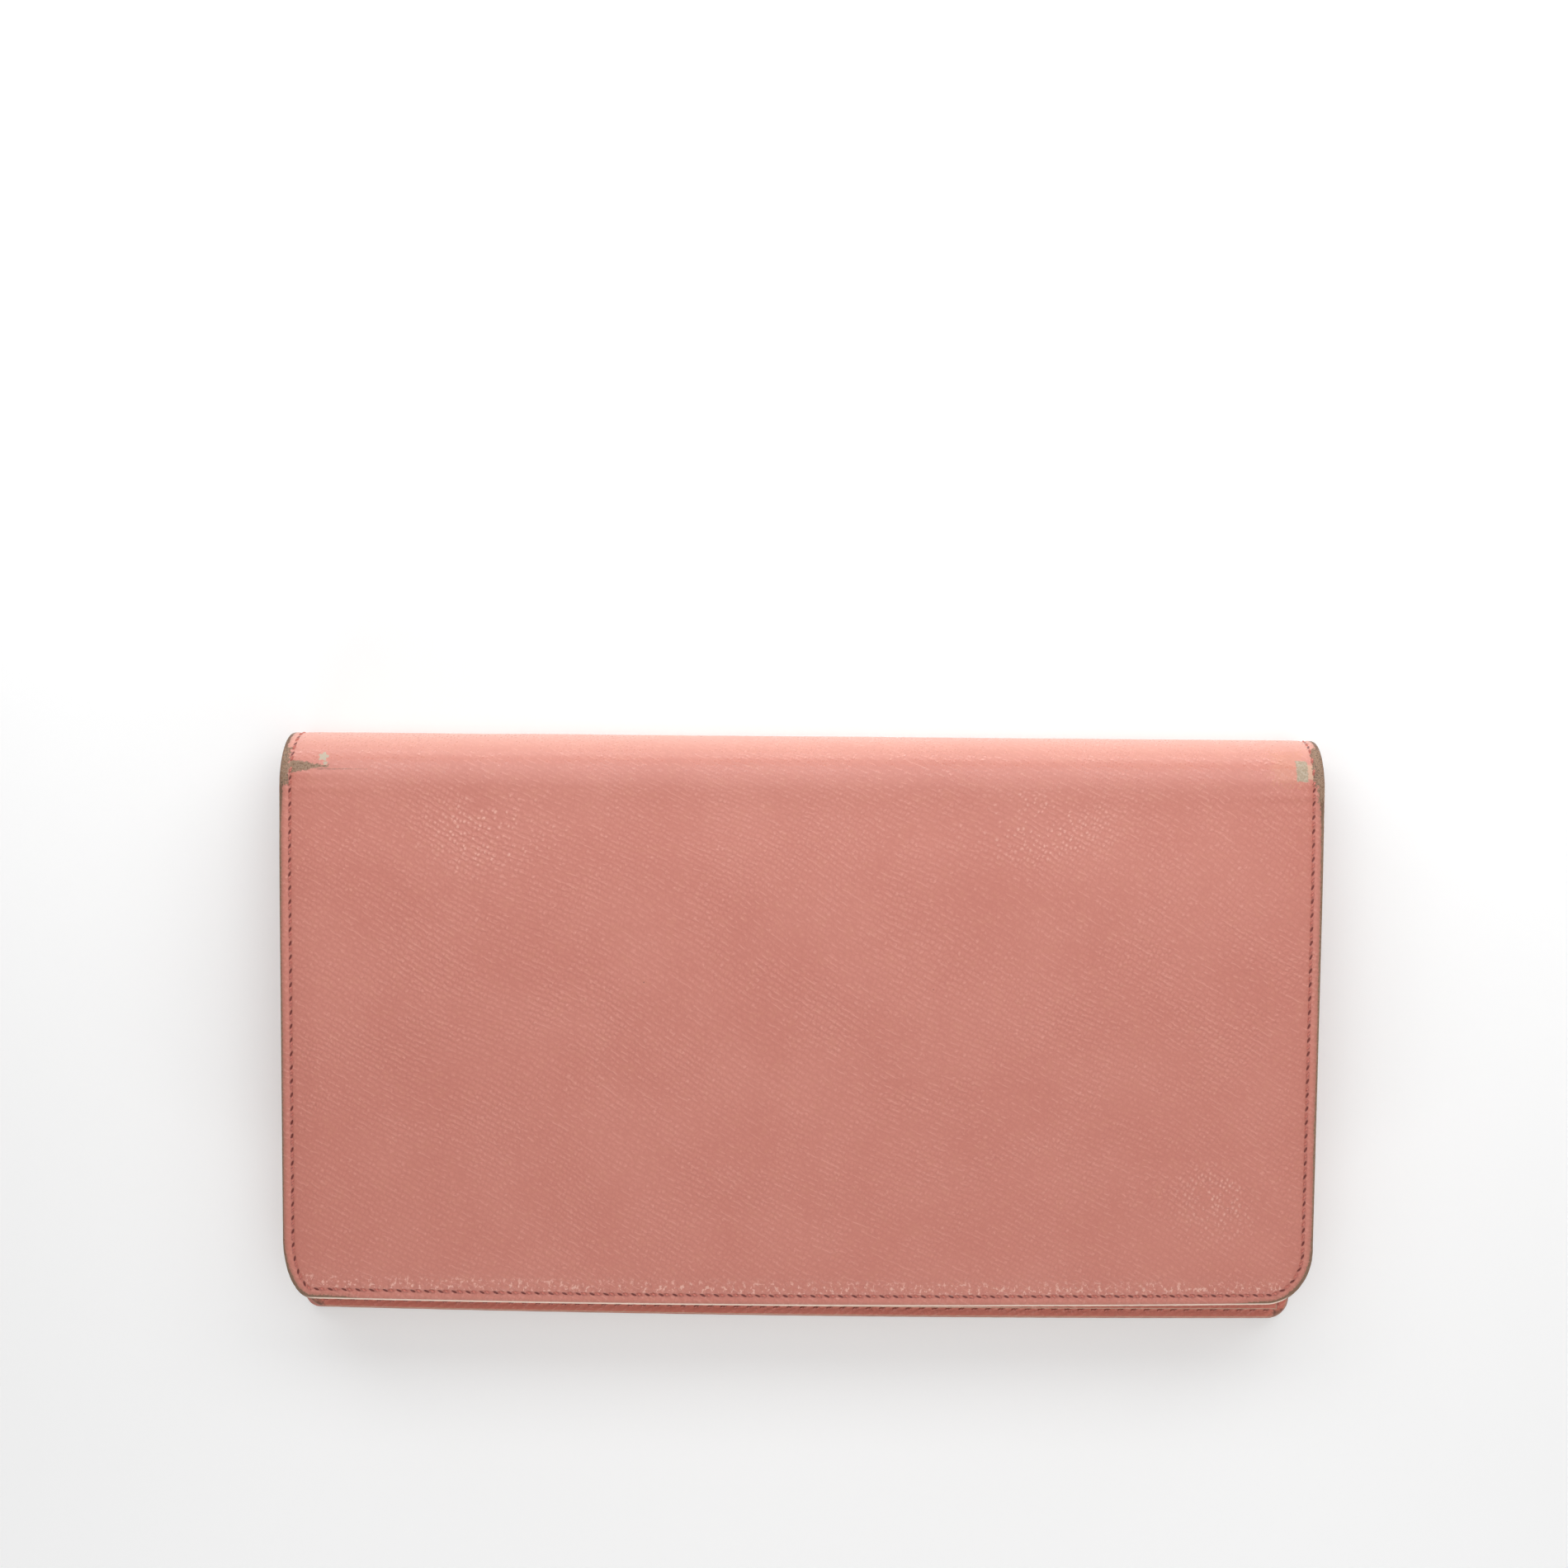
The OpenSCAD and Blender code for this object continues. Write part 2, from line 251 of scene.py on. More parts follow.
def outer_depth(x, s, v):
    """How far the outer face lies inside the CAD's outer face."""
    turned = np.sin(np.clip((s - FLAT_BACK) / FOLD_R, 0, math.pi)) ** 2
    border = SWELL * (1 - smooth((v - 0.6) / 6.5)) * (1 - 0.9 * turned)
    seam = 0.17 * np.exp(-(((v - INSET) / 0.5) ** 2))
    t = np.clip(1 - v / ROLL, 0, 1)
    rim = ROLL_DROP * (1 - np.sqrt(1 - t * t)) * (1 - 0.4 * turned)
    slack = 0.1 + 0.05 * ripple(x, s, 38, 3) + 0.03 * ripple(x, s, 15, 5)
    bend = s - FLAT_BACK - ARC
    crease = 0.05 * np.exp(-(((bend + 0.6 - 0.5 * ripple(x, 0 * s, 40, 8)) / 0.7) ** 2))
    crease = crease * (0.55 + 0.45 * ripple(x, 0 * s, 24, 9))
    fan = smooth((np.abs(x) - 72) / 20) * np.exp(-(((bend + 1.0) / 5.5) ** 2))
    folds = 0.05 * fan * np.sin(s * 2.3 + 0.9 * ripple(x, s, 9, 12))
    shoulder = SHOULDER * np.exp(-((bend / np.where(bend > 0, 10.0, 6.5)) ** 2))
    return border + seam + rim + np.maximum(slack, 0) + np.maximum(crease, 0) + folds + shoulder


# ---------------------------------------------------------------- meshes
def add_object(name, data):
    obj = bpy.data.objects.new(name, data)
    bpy.context.scene.collection.objects.link(obj)
    return obj


def make_mesh(name, points, faces, mats, slots=None, fields=None, normals=None, smoothly=True):
    mesh = bpy.data.meshes.new(name)
    faces = faces.tolist() if isinstance(faces, np.ndarray) else faces
    mesh.from_pydata((np.asarray(points) * MM).tolist(), [], faces)
    for m in mats:
        mesh.materials.append(m)
    if slots is not None:
        mesh.polygons.foreach_set("material_index", np.asarray(slots, np.int32))
    mesh.polygons.foreach_set("use_smooth", np.full(len(faces), smoothly))
    for key, value in (fields or {}).items():
        value = np.asarray(value, np.float32)
        kind = "FLOAT_VECTOR" if value.ndim == 2 else "FLOAT"
        data = mesh.attributes.new(key, kind, "POINT").data
        data.foreach_set("vector" if value.ndim == 2 else "value", value.ravel())
    mesh.update()
    if normals is not None:
        mesh.normals_split_custom_set_from_vertices(normals.tolist())
    return add_object(name, mesh)


def vertex_normals(points, faces):
    a, b, c, d = (points[faces[:, k]] for k in range(4))
    n = np.cross(c - a, d - b)
    total = np.zeros_like(points)
    for k in range(4):
        np.add.at(total, faces[:, k], n)
    length = np.linalg.norm(total, axis=1)
    return total / np.maximum(length, 1e-9)[:, None]


class Shell:
    """A closed sheet from a grid of outer and inner points, joined round its rim."""

    def __init__(self, outer, inner, fields, ends, bulge=0.12, flip=False):
        rows, cols = outer.shape[:2]
        self.rows = rows
        ids = np.arange(rows * cols).reshape(rows, cols)
        points = [outer.reshape(-1, 3), inner.reshape(-1, 3)]
        quads = np.stack([ids[:-1, :-1], ids[1:, :-1], ids[1:, 1:], ids[:-1, 1:]], -1)
        row_of = np.repeat(np.arange(rows - 1), cols - 1)
        quads = quads.reshape(-1, 4)
        under = quads[:, ::-1] + rows * cols
        r_up, r_down = np.arange(rows), np.arange(rows)[::-1]
        c_up, c_down = np.arange(cols), np.arange(cols)[::-1]
        loop = np.concatenate(
            [ids[r_up, 0], ids[-1, c_up[1:]], ids[r_down[1:], -1], ids[0, c_down[1:-1]]]
        )
        loop_rows = np.concatenate(
            [r_up, np.full(cols - 1, rows - 1), r_down[1:], np.zeros(cols - 2, int)]
        )
        a, b = points[0][loop], points[1][loop]
        mid_ids = 2 * rows * cols + np.arange(len(loop) * 2).reshape(2, -1)
        out = np.zeros_like(a)
        side_col = (loop % cols == 0) | (loop % cols == cols - 1)
        out[:, 0] = np.where(side_col, np.sign(a[:, 0] - outer[..., 0].mean()), 0)
        out[:, 1] = np.where(loop < cols, ends[0], 0)
        out[:, 1] = np.where(loop >= (rows - 1) * cols, ends[1], out[:, 1])
        out /= np.maximum(np.linalg.norm(out, axis=1), 1)[:, None]
        points.append(a + (b - a) * 0.3 + out * bulge)
        points.append(a + (b - a) * 0.72 + out * bulge)
        chain = [loop, mid_ids[0], mid_ids[1], loop + rows * cols]
        walls, wall_rows = [], []
        for p, q in zip(chain[:-1], chain[1:]):
            walls.append(np.stack([p, q, np.roll(q, -1), np.roll(p, -1)], -1))
            wall_rows.append(np.minimum(np.minimum(loop_rows, np.roll(loop_rows, -1)), rows - 2))
        self.points = np.vstack(points)
        self.faces = np.vstack([quads, under, *walls])
        if flip:
            self.faces = self.faces[:, ::-1]
        self.face_row = np.concatenate([row_of, row_of, *wall_rows])
        wall_n = sum(len(w) for w in walls)
        self.slots = np.concatenate(
            [np.zeros(len(quads), int), np.full(len(under), 2), np.full(wall_n, 1)]
        )
        self.fields = {}
        for key, value in fields.items():
            flat = value.reshape(rows * cols, -1)
            rim = flat[loop]
            whole = np.vstack([flat, flat, rim, rim])
            self.fields[key] = whole[:, 0] if whole.shape[1] == 1 else whole
        self.normals = vertex_normals(self.points, self.faces)

    def piece(self, name, mats, first=0, last=None, drop=None):
        last = self.rows - 1 if last is None else last
        keep = (self.face_row >= first) & (self.face_row < last)
        if drop is not None:
            keep &= ~drop
        faces = self.faces[keep]
        used, faces = np.unique(faces, return_inverse=True)
        faces = faces.reshape(-1, 4)
        fields = {k: v[used] for k, v in self.fields.items()}
        return make_mesh(
            name, self.points[used], faces, mats, self.slots[keep], fields, self.normals[used]
        )


def threads(name, centres, along, place, length=1.75, radius=0.22, slant=12.0, lift=0.03):
    """Slanted stitches at those points; place(x, y, lift) puts them on a surface."""
    n, rings, sides = len(centres), 7, 8
    a = np.radians(slant)
    ux = along[:, 0] * math.cos(a) - along[:, 1] * math.sin(a)
    uy = along[:, 0] * math.sin(a) + along[:, 1] * math.cos(a)
    t = np.linspace(-1, 1, rings)
    round_off = np.array([0.45, 0.85, 1, 1, 1, 0.85, 0.45])
    sink = np.array([-0.34, -0.1, 0.0, 0.03, 0.0, -0.1, -0.34])
    b = np.linspace(0, 2 * math.pi, sides, endpoint=False)
    size = radius * rng.uniform(0.92, 1.06, (n, 1, 1))
    stretch = length / 2 * rng.uniform(0.94, 1.04, (n, 1, 1))
    cross = size * round_off[None, :, None] * np.cos(b)[None, None, :]
    up = lift + sink[None, :, None] + size * round_off[None, :, None] * np.sin(b)[None, None, :]
    run = stretch * t[None, :, None] + 0 * cross
    x = centres[:, 0, None, None] + ux[:, None, None] * run - uy[:, None, None] * cross
    y = centres[:, 1, None, None] + uy[:, None, None] * run + ux[:, None, None] * cross
    points = place(x.ravel(), y.ravel(), up.ravel())
    ids = np.arange(n * rings * sides).reshape(n, rings, sides)
    nxt = np.roll(ids, -1, 2)
    quads = np.stack([ids[:, :-1], nxt[:, :-1], nxt[:, 1:], ids[:, 1:]], -1).reshape(-1, 4)
    caps = [[list(i[0][::-1]), list(i[-1])] for i in ids]
    faces = [list(q) for q in quads] + [f for pair in caps for f in pair]
    start = points[quads[:, 0]]
    area = np.cross(points[quads[:, 1]] - start, points[quads[:, 3]] - start)
    if ((start - points.mean(0)) * area).sum() < 0:
        faces = [f[::-1] for f in faces]
    twist = np.stack([run + 0 * cross, b[None, None, :] + 0 * cross, 0 * cross], -1).reshape(-1, 3)
    twist[:, 2] = np.repeat(np.arange(n), rings * sides)
    return make_mesh(name, points, faces, [thread_pink], fields={"twist": twist})


# ---------------------------------------------------------------- materials
def shaded(colour, share):
    return tuple(c * share for c in colour[:3]) + (1.0,)


def linear(rgb):
    """A displayed colour, 0 to 255, as scene-linear."""
    c = np.array(rgb, float) / 255
    return tuple(np.where(c <= 0.04045, c / 12.92, ((c + 0.055) / 1.055) ** 2.4)) + (1.0,)


class Graph:
    """A small helper that writes one material's nodes."""

    def __init__(self, name):
        self.mat = bpy.data.materials.new(name)
        self.mat.use_nodes = True
        self.tree = self.mat.node_tree
        self.tree.nodes.clear()
        self.out = self.node("OutputMaterial")
        self.bsdf = self.node("BsdfPrincipled")
        self.tree.links.new(self.bsdf.outputs[0], self.out.inputs[0])

    def node(self, kind):
        return self.tree.nodes.new("ShaderNode" + kind)

    def put(self, socket, value):
        if isinstance(value, bpy.types.NodeSocket):
            self.tree.links.new(value, socket)
        elif value is not None:
            socket.default_value = value

    def attr(self, name, out="Vector"):
        n = self.node("Attribute")
        n.attribute_type, n.attribute_name = "GEOMETRY", name
        return n.outputs[out]

    def math(self, op, a, b=None, c=None):
        n = self.node("Math")
        n.operation = op
        for socket, value in zip(n.inputs, (a, b, c)):
            self.put(socket, value)
        return n.outputs[0]

    def add(self, a, b):
        return self.math("ADD", a, b)

    def mul(self, a, b):
        return self.math("MULTIPLY", a, b)

    def sub(self, a, b):
        return self.math("SUBTRACT", a, b)

    def max(self, a, b):
        return self.math("MAXIMUM", a, b)

    def abs(self, a):
        return self.math("ABSOLUTE", a)

    def root(self, a):
        return self.math("SQRT", a)

    def vmath(self, op, a, b=None, scale=None):
        n = self.node("VectorMath")
        n.operation = op
        self.put(n.inputs[0], a)
        self.put(n.inputs[1], b)
        if scale is not None:
            self.put(n.inputs["Scale"], scale)
        return n.outputs["Value" if op == "LENGTH" else "Vector"]

    def split(self, v):
        n = self.node("SeparateXYZ")
        self.put(n.inputs[0], v)
        return n.outputs

    def turn(self, v, degrees, scale):
        n = self.node("Mapping")
        self.put(n.inputs["Vector"], v)
        n.inputs["Rotation"].default_value = (0, 0, math.radians(degrees))
        n.inputs["Scale"].default_value = scale
        return n.outputs[0]

    def step(self, v, start, end, low=0.0, high=1.0):
        n = self.node("MapRange")
        n.interpolation_type = "SMOOTHSTEP"
        for socket, value in zip(n.inputs, (v, start, end, low, high)):
            self.put(socket, value)
        return n.outputs[0]

    def noise(self, v, scale, detail=2.0, rough=0.5, colour=False):
        n = self.node("TexNoise")
        for key, value in zip(("Vector", "Scale", "Detail", "Roughness"), (v, scale, detail, rough)):
            self.put(n.inputs[key], value)
        return n.outputs["Color" if colour else 0]

    def cell_node(self, v, feature, random, scale=1.0):
        n = self.node("TexVoronoi")
        n.feature = feature
        self.put(n.inputs["Vector"], v)
        n.inputs["Scale"].default_value = scale
        n.inputs["Randomness"].default_value = random
        return n

    def mix(self, factor, a, b, blend="MIX"):
        n = self.node("Mix")
        n.data_type, n.blend_type = "RGBA", blend
        self.put(n.inputs[0], factor)
        self.put(n.inputs[6], a)
        self.put(n.inputs[7], b)
        return n.outputs[2]

    def bump(self, height, distance_mm):
        n = self.node("Bump")
        self.put(n.inputs["Height"], height)
        n.inputs["Distance"].default_value = distance_mm * MM
        self.put(self.bsdf.inputs["Normal"], n.outputs[0])

    def surface(self, colour, roughness, metallic=0.0, specular=0.5, sheen=0.0):
        self.put(self.bsdf.inputs["Base Color"], colour)
        self.put(self.bsdf.inputs["Roughness"], roughness)
        self.bsdf.inputs["Metallic"].default_value = metallic
        self.bsdf.inputs["Specular IOR Level"].default_value = specular
        self.bsdf.inputs["Sheen Weight"].default_value = sheen
        return self.mat


FLAT_LIFT = 400.0  # the card side's flat coordinates lie this far along
CORNER_RUB = (WIDTH / 2 - 4.5, BACK_Y + 2.6 + FLAT_LIFT)
# polished patches with painted highlight flecks, on the flat pattern: place, then half sizes
POLISHED_GLINTS = [
    (-56.0, SHEET_L - 87.0, 18.0, 11.0), (43.0, SHEET_L - 89.0, 19.0, 9.0),
    (77.0, SHEET_L - 20.0, 11.0, 10.0),
]
# GLINT: the colour of painted highlights
GLINT = linear((240, 190, 174))
GRAIN_TURN = 28.0  # the rows' slant, degrees, down to the right on the front cover
GRAIN_STEP = (0.8, 1.02)  # along a row and from row to row, mm
SALMON = linear((203, 126, 111))
SALMON_RICH = linear((210, 117, 98))
SALMON_DEEP = linear((180, 100, 86))
SALMON_PALE = linear((232, 168, 152))
HOLE_SHADE = linear((104, 30, 24))
BARE_TAN = linear((182, 152, 126))
BARE_BROWN = linear((124, 92, 70))
BARE_DARK = linear((76, 50, 38))
CREAM = linear((240, 214, 196))
BONE = linear((190, 174, 154))
PLATE_GREY = linear((166, 146, 122))
PLATE_WARM = linear((208, 142, 112))
PLATE_SKIN = linear((210, 166, 142))
WARM_TINGE = linear((206, 138, 112))

# bands round the fold, degrees: fades in from the first to the second, out from the third
FOLD_SMOOTH = (60, 110, 160, 190)
# the band where a pale highlight is painted round the fold
FOLD_HIGHLIGHT = (30, 60, 104, 156)
# rubbed patches by the fold's ends, on the flat pattern: x0, x1, s0, s1, how ragged
LEFT_RIM = (-95.6, -93.3, 124.6, 132.6, 1.5)
RIGHT_RIM = (93.0, 95.6, 122.4, 131.2, 1.3)
RIGHT_RIM_FRONT = (93.9, 95.6, 130.0, 134.2, 1.3)
PLATE = (89.9, 92.0, 126.0, 130.3, 0.5)
PLATE_SIDE = (91.7, 93.2, 126.6, 129.8, 0.7)
PLATE_TINGE = (85.5, 91.0, 124.0, 131.0, 5.0)
# cracks there: x0, x1, s, half height at x0, half height at x1, how ragged
LEFT_CREASE = (-93.4, -86.2, 128.8, 1.25, 0.16, 0.9)
LEFT_CRACK = (-88.0, -79.0, 129.4, 0.12, 0.02, 0.3)
CHIP_TAIL = (-87.0, -86.3, 128.3, 0.34, 0.3, 0.3)
# the star-shaped chip: x, s, radius, points
CHIP = (-87.1, 126.9, 0.82, 5.0)


def between(g, s, band):
    """1 in the band of angles round the fold, 0 outside it."""
    a, b, c, d = (at_angle(degrees) for degrees in band)
    return g.mul(g.step(s, a, b), g.step(s, d, c))


def ragged_mask(g, outside, ragged):
    """1 where outside, a distance past the border in mm, is below 0; the border wavers."""
    wobble = g.mul(g.add(g.ragged, -0.5), 2.2 * ragged)
    return g.step(g.add(outside, wobble), 0.09, -0.09)


def bounded(g, xs, x0, x1, s0, s1, ragged):
    """1 inside the ragged rectangle x0..x1, s0..s1 of the flat pattern, 0 outside."""
    dx = g.sub(g.abs(g.add(xs[0], -(x0 + x1) / 2)), (x1 - x0) / 2)
    ds = g.sub(g.abs(g.add(xs[1], -(s0 + s1) / 2)), (s1 - s0) / 2)
    return ragged_mask(g, g.max(dx, ds), ragged)


def tapered(g, xs, x0, x1, s, wide, narrow, ragged):
    """1 inside a crack along s that narrows from x0 to x1."""
    half = g.step(xs[0], x0, x1, wide, narrow)
    off = g.sub(g.abs(g.add(xs[1], -s)), half)
    ends = g.add(g.abs(g.add(xs[0], -(x0 + x1) / 2)), -abs(x1 - x0) / 2)
    return ragged_mask(g, g.max(off, ends), ragged)


def starred(g, xs, x, s, radius, points):
    """1 inside a small ragged star, where a flake of the finish has come off."""
    dx, ds = g.add(xs[0], -x), g.add(xs[1], -s)
    angle = g.mul(g.math("ARCTAN2", ds, dx), points)
    reach = g.root(g.add(g.mul(dx, dx), g.mul(ds, ds)))
    reach = g.add(reach, g.mul(g.math("COSINE", g.add(angle, 0.6)), -0.26 * radius))
    reach = g.add(reach, g.mul(g.add(g.ragged, -0.5), 0.9 * radius))
    return g.step(reach, radius + 0.06, radius - 0.06)


def leather(name, base, worn_and_glints):
    """Grained leather; worn_and_glints adds the cover's seam, rubbed rims and marks by the fold's ends, and
    painted highlights on polished patches, round the fold and above the front seam.
    """
    g = Graph(name)
    flat = g.attr("flat")
    xs = g.split(flat)
    edge = g.attr("edge", "Fac")
    # pebbles pressed into slanting rows, with the odd row drifting and pebbles running together
    swirl = g.vmath("SUBTRACT", g.noise(flat, 0.02, 1.5, colour=True), (0.5, 0.5, 0.5))
    bent = g.vmath("ADD", flat, g.vmath("SCALE", swirl, scale=9.0))
    shake = g.vmath("SUBTRACT", g.noise(flat, 0.55, 1.0, colour=True), (0.5, 0.5, 0.5))
    bent = g.vmath("ADD", bent, g.vmath("SCALE", shake, scale=0.6))
    row = g.turn(bent, -GRAIN_TURN, (1, 1, 1))
    grain = g.vmath("MULTIPLY", row, (1 / GRAIN_STEP[0], 1 / GRAIN_STEP[1], 1.0))
    pebbles = g.cell_node(grain, "F1", 0.5)
    cell, shade = pebbles.outputs["Distance"], g.split(pebbles.outputs["Color"])[0]
    crack = g.cell_node(grain, "DISTANCE_TO_EDGE", 0.5).outputs["Distance"]
    dome = g.step(cell, 0.62, 0.0)
    valley = g.step(crack, 0.0, 0.16)
    pebble = g.mul(g.add(g.mul(dome, 0.75), g.mul(valley, 0.25)), g.add(g.mul(shade, 0.5), 0.7))
    lift = g.step(g.noise(flat, 0.045, 2.0), 0.35, 0.65, 0.62, 1.0)
    fine = g.noise(flat, 3.4, 2.0, 0.6)
    ridge = g.math("SINE", g.mul(g.split(grain)[1], 2 * math.pi))
    height = g.add(g.mul(g.mul(pebble, lift), 0.8), g.mul(fine, 0.2))
    height = g.add(height, g.mul(ridge, 0.13))

    tone = g.noise(flat, 0.05, 3.0, 0.5)
    colour = g.mix(g.step(tone, 0.3, 0.7), SALMON_DEEP, SALMON_PALE)
    colour = g.mix(0.92, colour, base)
    colour = g.mix(g.mul(g.step(crack, 0.16, 0.0), 0.16), colour, SALMON_DEEP)
    # short pale flecks and broken lines on the rows' crests: painted highlights
    fleck = g.noise(flat, 1.5, 2.0, 0.75)
    crest_highlight = g.mul(g.step(cell, 0.45, 0.2), g.step(fleck, 0.5, 0.62))
    crest_highlight = g.mul(crest_highlight, g.step(shade, 0.15, 0.75, 0.2, 0.7))
    dash = g.step(g.noise(g.vmath("MULTIPLY", row, (0.8, 1.3, 1.0)), 1.0, 2.0, 0.6), 0.48, 0.62)
    crest_highlight = g.max(crest_highlight, g.mul(g.mul(g.step(ridge, 0.55, 1.0), dash), g.mul(lift, 0.7)))
    colour = g.mix(g.mul(crest_highlight, 0.52), colour, SALMON_PALE)
    warm = g.step(g.noise(flat, 0.4, 2.0), 0.5, 0.75, 0.0, 0.16)
    colour = g.mix(warm, colour, WARM_TINGE)
    specks = g.cell_node(flat, "F1", 1.0, 0.055).outputs["Distance"]
    colour = g.mix(g.mul(g.step(specks, 0.011, 0.006), 0.6), colour, BARE_DARK)
    rough = g.step(pebble, 0.1, 0.95, 0.58, 0.4)

    if worn_and_glints:
        # handling has polished a few patches, where the pebbles stand out and are less rough; pale flecks
        # on their pebbles are painted highlights
        polish_glint = 0.0
        for x, s, half_x, half_s in POLISHED_GLINTS:
            off = g.vmath("LENGTH", g.vmath(
                "MULTIPLY", g.vmath("SUBTRACT", flat, (x, s, 0)), (1 / half_x, 1 / half_s, 0)))
            polish_glint = g.add(polish_glint, g.step(off, 1.0, 0.15))
        painted_shine = g.mul(g.step(cell, 0.42, 0.16), g.step(fleck, 0.42, 0.56))
        colour = g.mix(g.mul(g.mul(painted_shine, polish_glint), 0.5), colour, GLINT)
        height = g.mul(height, g.add(g.mul(polish_glint, 0.7), 1.0))
        rough = g.add(rough, g.mul(polish_glint, -0.08))
        # smoother over the fold, and a pale highlight painted round it, brightest on its back half
        folded = between(g, xs[1], FOLD_SMOOTH)
        rough = g.add(rough, g.mul(folded, -0.2))
        crown_highlight = between(g, xs[1], FOLD_HIGHLIGHT)
        colour = g.mix(g.mul(crown_highlight, 0.46), colour, GLINT)
        g.ragged = g.noise(flat, 1.7, 4.0, 0.7)
        speck = g.noise(flat, 2.1, 3.0, 0.75)
        seam = g.split(g.attr("seam"))
        # needle holes, the groove and the puckers that run in from each stitch
        along = g.mul(g.add(g.math("FRACT", g.math("DIVIDE", seam[0], PITCH)), -0.5), PITCH)
        across = g.add(seam[1], g.mul(along, -0.34))
        reach = g.root(g.add(
            g.math("POWER", g.math("DIVIDE", along, 0.6), 2.0),
            g.math("POWER", g.math("DIVIDE", across, 0.25), 2.0)))
        hole = g.step(reach, 1.0, 0.6)
        groove = g.step(g.abs(seam[1]), 0.5, 0.08)
        wave = g.math("COSINE", g.mul(seam[0], 2 * math.pi / PITCH))
        inside = g.mul(g.step(seam[1], 0.2, 0.8), g.step(seam[1], 3.2, 0.9))
        pucker = g.mul(g.mul(wave, inside), seam[2])
        streaks = g.turn(flat, 0, (1.5, 0.34, 1.0))
        streak = g.add(g.noise(streaks, 1.0, 2.0, 0.55), -0.5)
        pulled = g.mul(g.step(seam[1], 13.0, 1.0), seam[2])
        for relief, amount in (
            (pucker, 0.9), (g.mul(streak, pulled), 2.6), (hole, -1.6), (groove, -0.6),
        ):
            height = g.add(height, g.mul(relief, amount))
        colour = g.mix(g.mul(groove, 0.3), colour, SALMON_DEEP)
        # the needle holes are painted dark red: painted shade in the holes
        colour = g.mix(g.mul(hole, 0.9), colour, HOLE_SHADE)
        # glints painted on the puckers above the front edge's seam: painted highlights
        by_seam = g.mul(g.step(seam[1], 0.2, 0.6), g.step(seam[1], 5.0, 1.2))
        by_seam = g.mul(by_seam, g.step(seam[2], 0.4, 0.9))
        glint = g.step(g.noise(g.turn(flat, 0, (1.0, 0.7, 1.0)), 1.3, 3.0, 0.7), 0.54, 0.62)
        colour = g.mix(g.mul(g.mul(glint, by_seam), 0.7), colour, GLINT)

        bare = g.mix(g.step(speck, 0.4, 0.6), BARE_BROWN, BARE_TAN)
        rim = g.attr("rim", "Fac")
        line = g.add(rim, g.mul(g.mul(g.add(g.ragged, -0.5), rim), 1.6))
        rubbed = g.step(g.sub(line, edge), -0.1, 0.14)
        dark = g.attr("dark", "Fac")
        grime = g.mul(dark, g.step(speck, 0.44, 0.56))
        colour = g.mix(rubbed, colour, g.mix(grime, bare, BARE_DARK))
        soft_rub = g.mul(g.step(g.sub(line, edge), -0.9, 0.1), 0.3)
        colour = g.mix(soft_rub, colour, BARE_BROWN)
        # left end of the fold: dark rubbed rim, a worn crease running in from it, a pale chip
        patches = [
            (bounded(g, xs, *LEFT_RIM), 0.85),
            (tapered(g, xs, *LEFT_CREASE), 0.55),
        ]
        faint = tapered(g, xs, *LEFT_CRACK)
        chip = g.max(starred(g, xs, *CHIP), tapered(g, xs, *CHIP_TAIL))
        # right end of the fold: a bare rectangle beside a dark rubbed rim
        patches += [
            (bounded(g, xs, *RIGHT_RIM), 0.9),
            (bounded(g, xs, *RIGHT_RIM_FRONT), 0.5),
        ]
        plate = bounded(g, xs, *PLATE)
        skin = bounded(g, xs, *PLATE_SIDE)
        tinge = bounded(g, xs, *PLATE_TINGE)
        colour = g.mix(g.mul(tinge, 0.35), colour, PLATE_WARM)
        colour = g.mix(skin, colour, PLATE_SKIN)
        colour = g.mix(plate, colour, g.mix(g.step(speck, 0.42, 0.66), PLATE_GREY, BONE))
        lost = g.max(rubbed, g.max(plate, skin))
        for mask, black in patches:
            tone = g.mix(g.mul(g.step(speck, 0.5, 0.6), black), bare, BARE_DARK)
            colour = g.mix(mask, colour, tone)
            lost = g.max(lost, mask)
        colour = g.mix(g.mul(faint, 0.55), colour, BARE_BROWN)
        colour = g.mix(chip, colour, BONE)
        lost = g.max(lost, chip)
        cream = g.mul(g.attr("cream", "Fac"), g.step(edge, 0.42, 0.26))
        colour = g.mix(cream, colour, CREAM)
        height = g.add(g.mul(height, g.step(lost, 0.0, 1.0, 1.0, 0.25)),
                       g.mul(g.mul(speck, lost), 0.9))
        height = g.add(height, g.mul(lost, -0.25))
        upper = g.step(xs[1], SHEET_L - 45, at_angle(180), 1.0, 0.6)
        height = g.mul(g.mul(height, upper), g.step(folded, 0.0, 1.0, 1.0, 0.65))
        rough = g.add(rough, g.mul(lost, 0.3))
    else:
        ragged = g.noise(flat, 1.1, 4.0, 0.65)
        rubbed = g.step(g.add(edge, g.mul(g.add(ragged, -0.5), 0.3)), 0.34, 0.1)
        colour = g.mix(g.mul(rubbed, 0.8), colour, BARE_TAN)
        # the back half's two free corners are rubbed brown
        past = g.max(g.add(g.abs(xs[0]), -CORNER_RUB[0]), 0.0)
        past = g.mul(past, g.step(g.abs(xs[0]), WIDTH / 2 + 0.5, WIDTH / 2))
        below = g.max(g.add(g.mul(xs[1], -1.0), CORNER_RUB[1]), 0.0)
        below = g.mul(below, g.step(xs[1], CORNER_RUB[1] - 20, CORNER_RUB[1] - 18))
        depth = g.root(g.mul(past, below))
        brown = g.step(g.add(depth, g.mul(g.add(ragged, -0.5), 2.4)), 0.7, 1.7)
        bare = g.mix(g.step(ragged, 0.5, 0.62), BARE_BROWN, BARE_DARK)
        colour = g.mix(g.mul(brown, 0.75), colour, bare)
    g.bump(height, 0.08)
    return g.surface(colour, rough, specular=0.65)


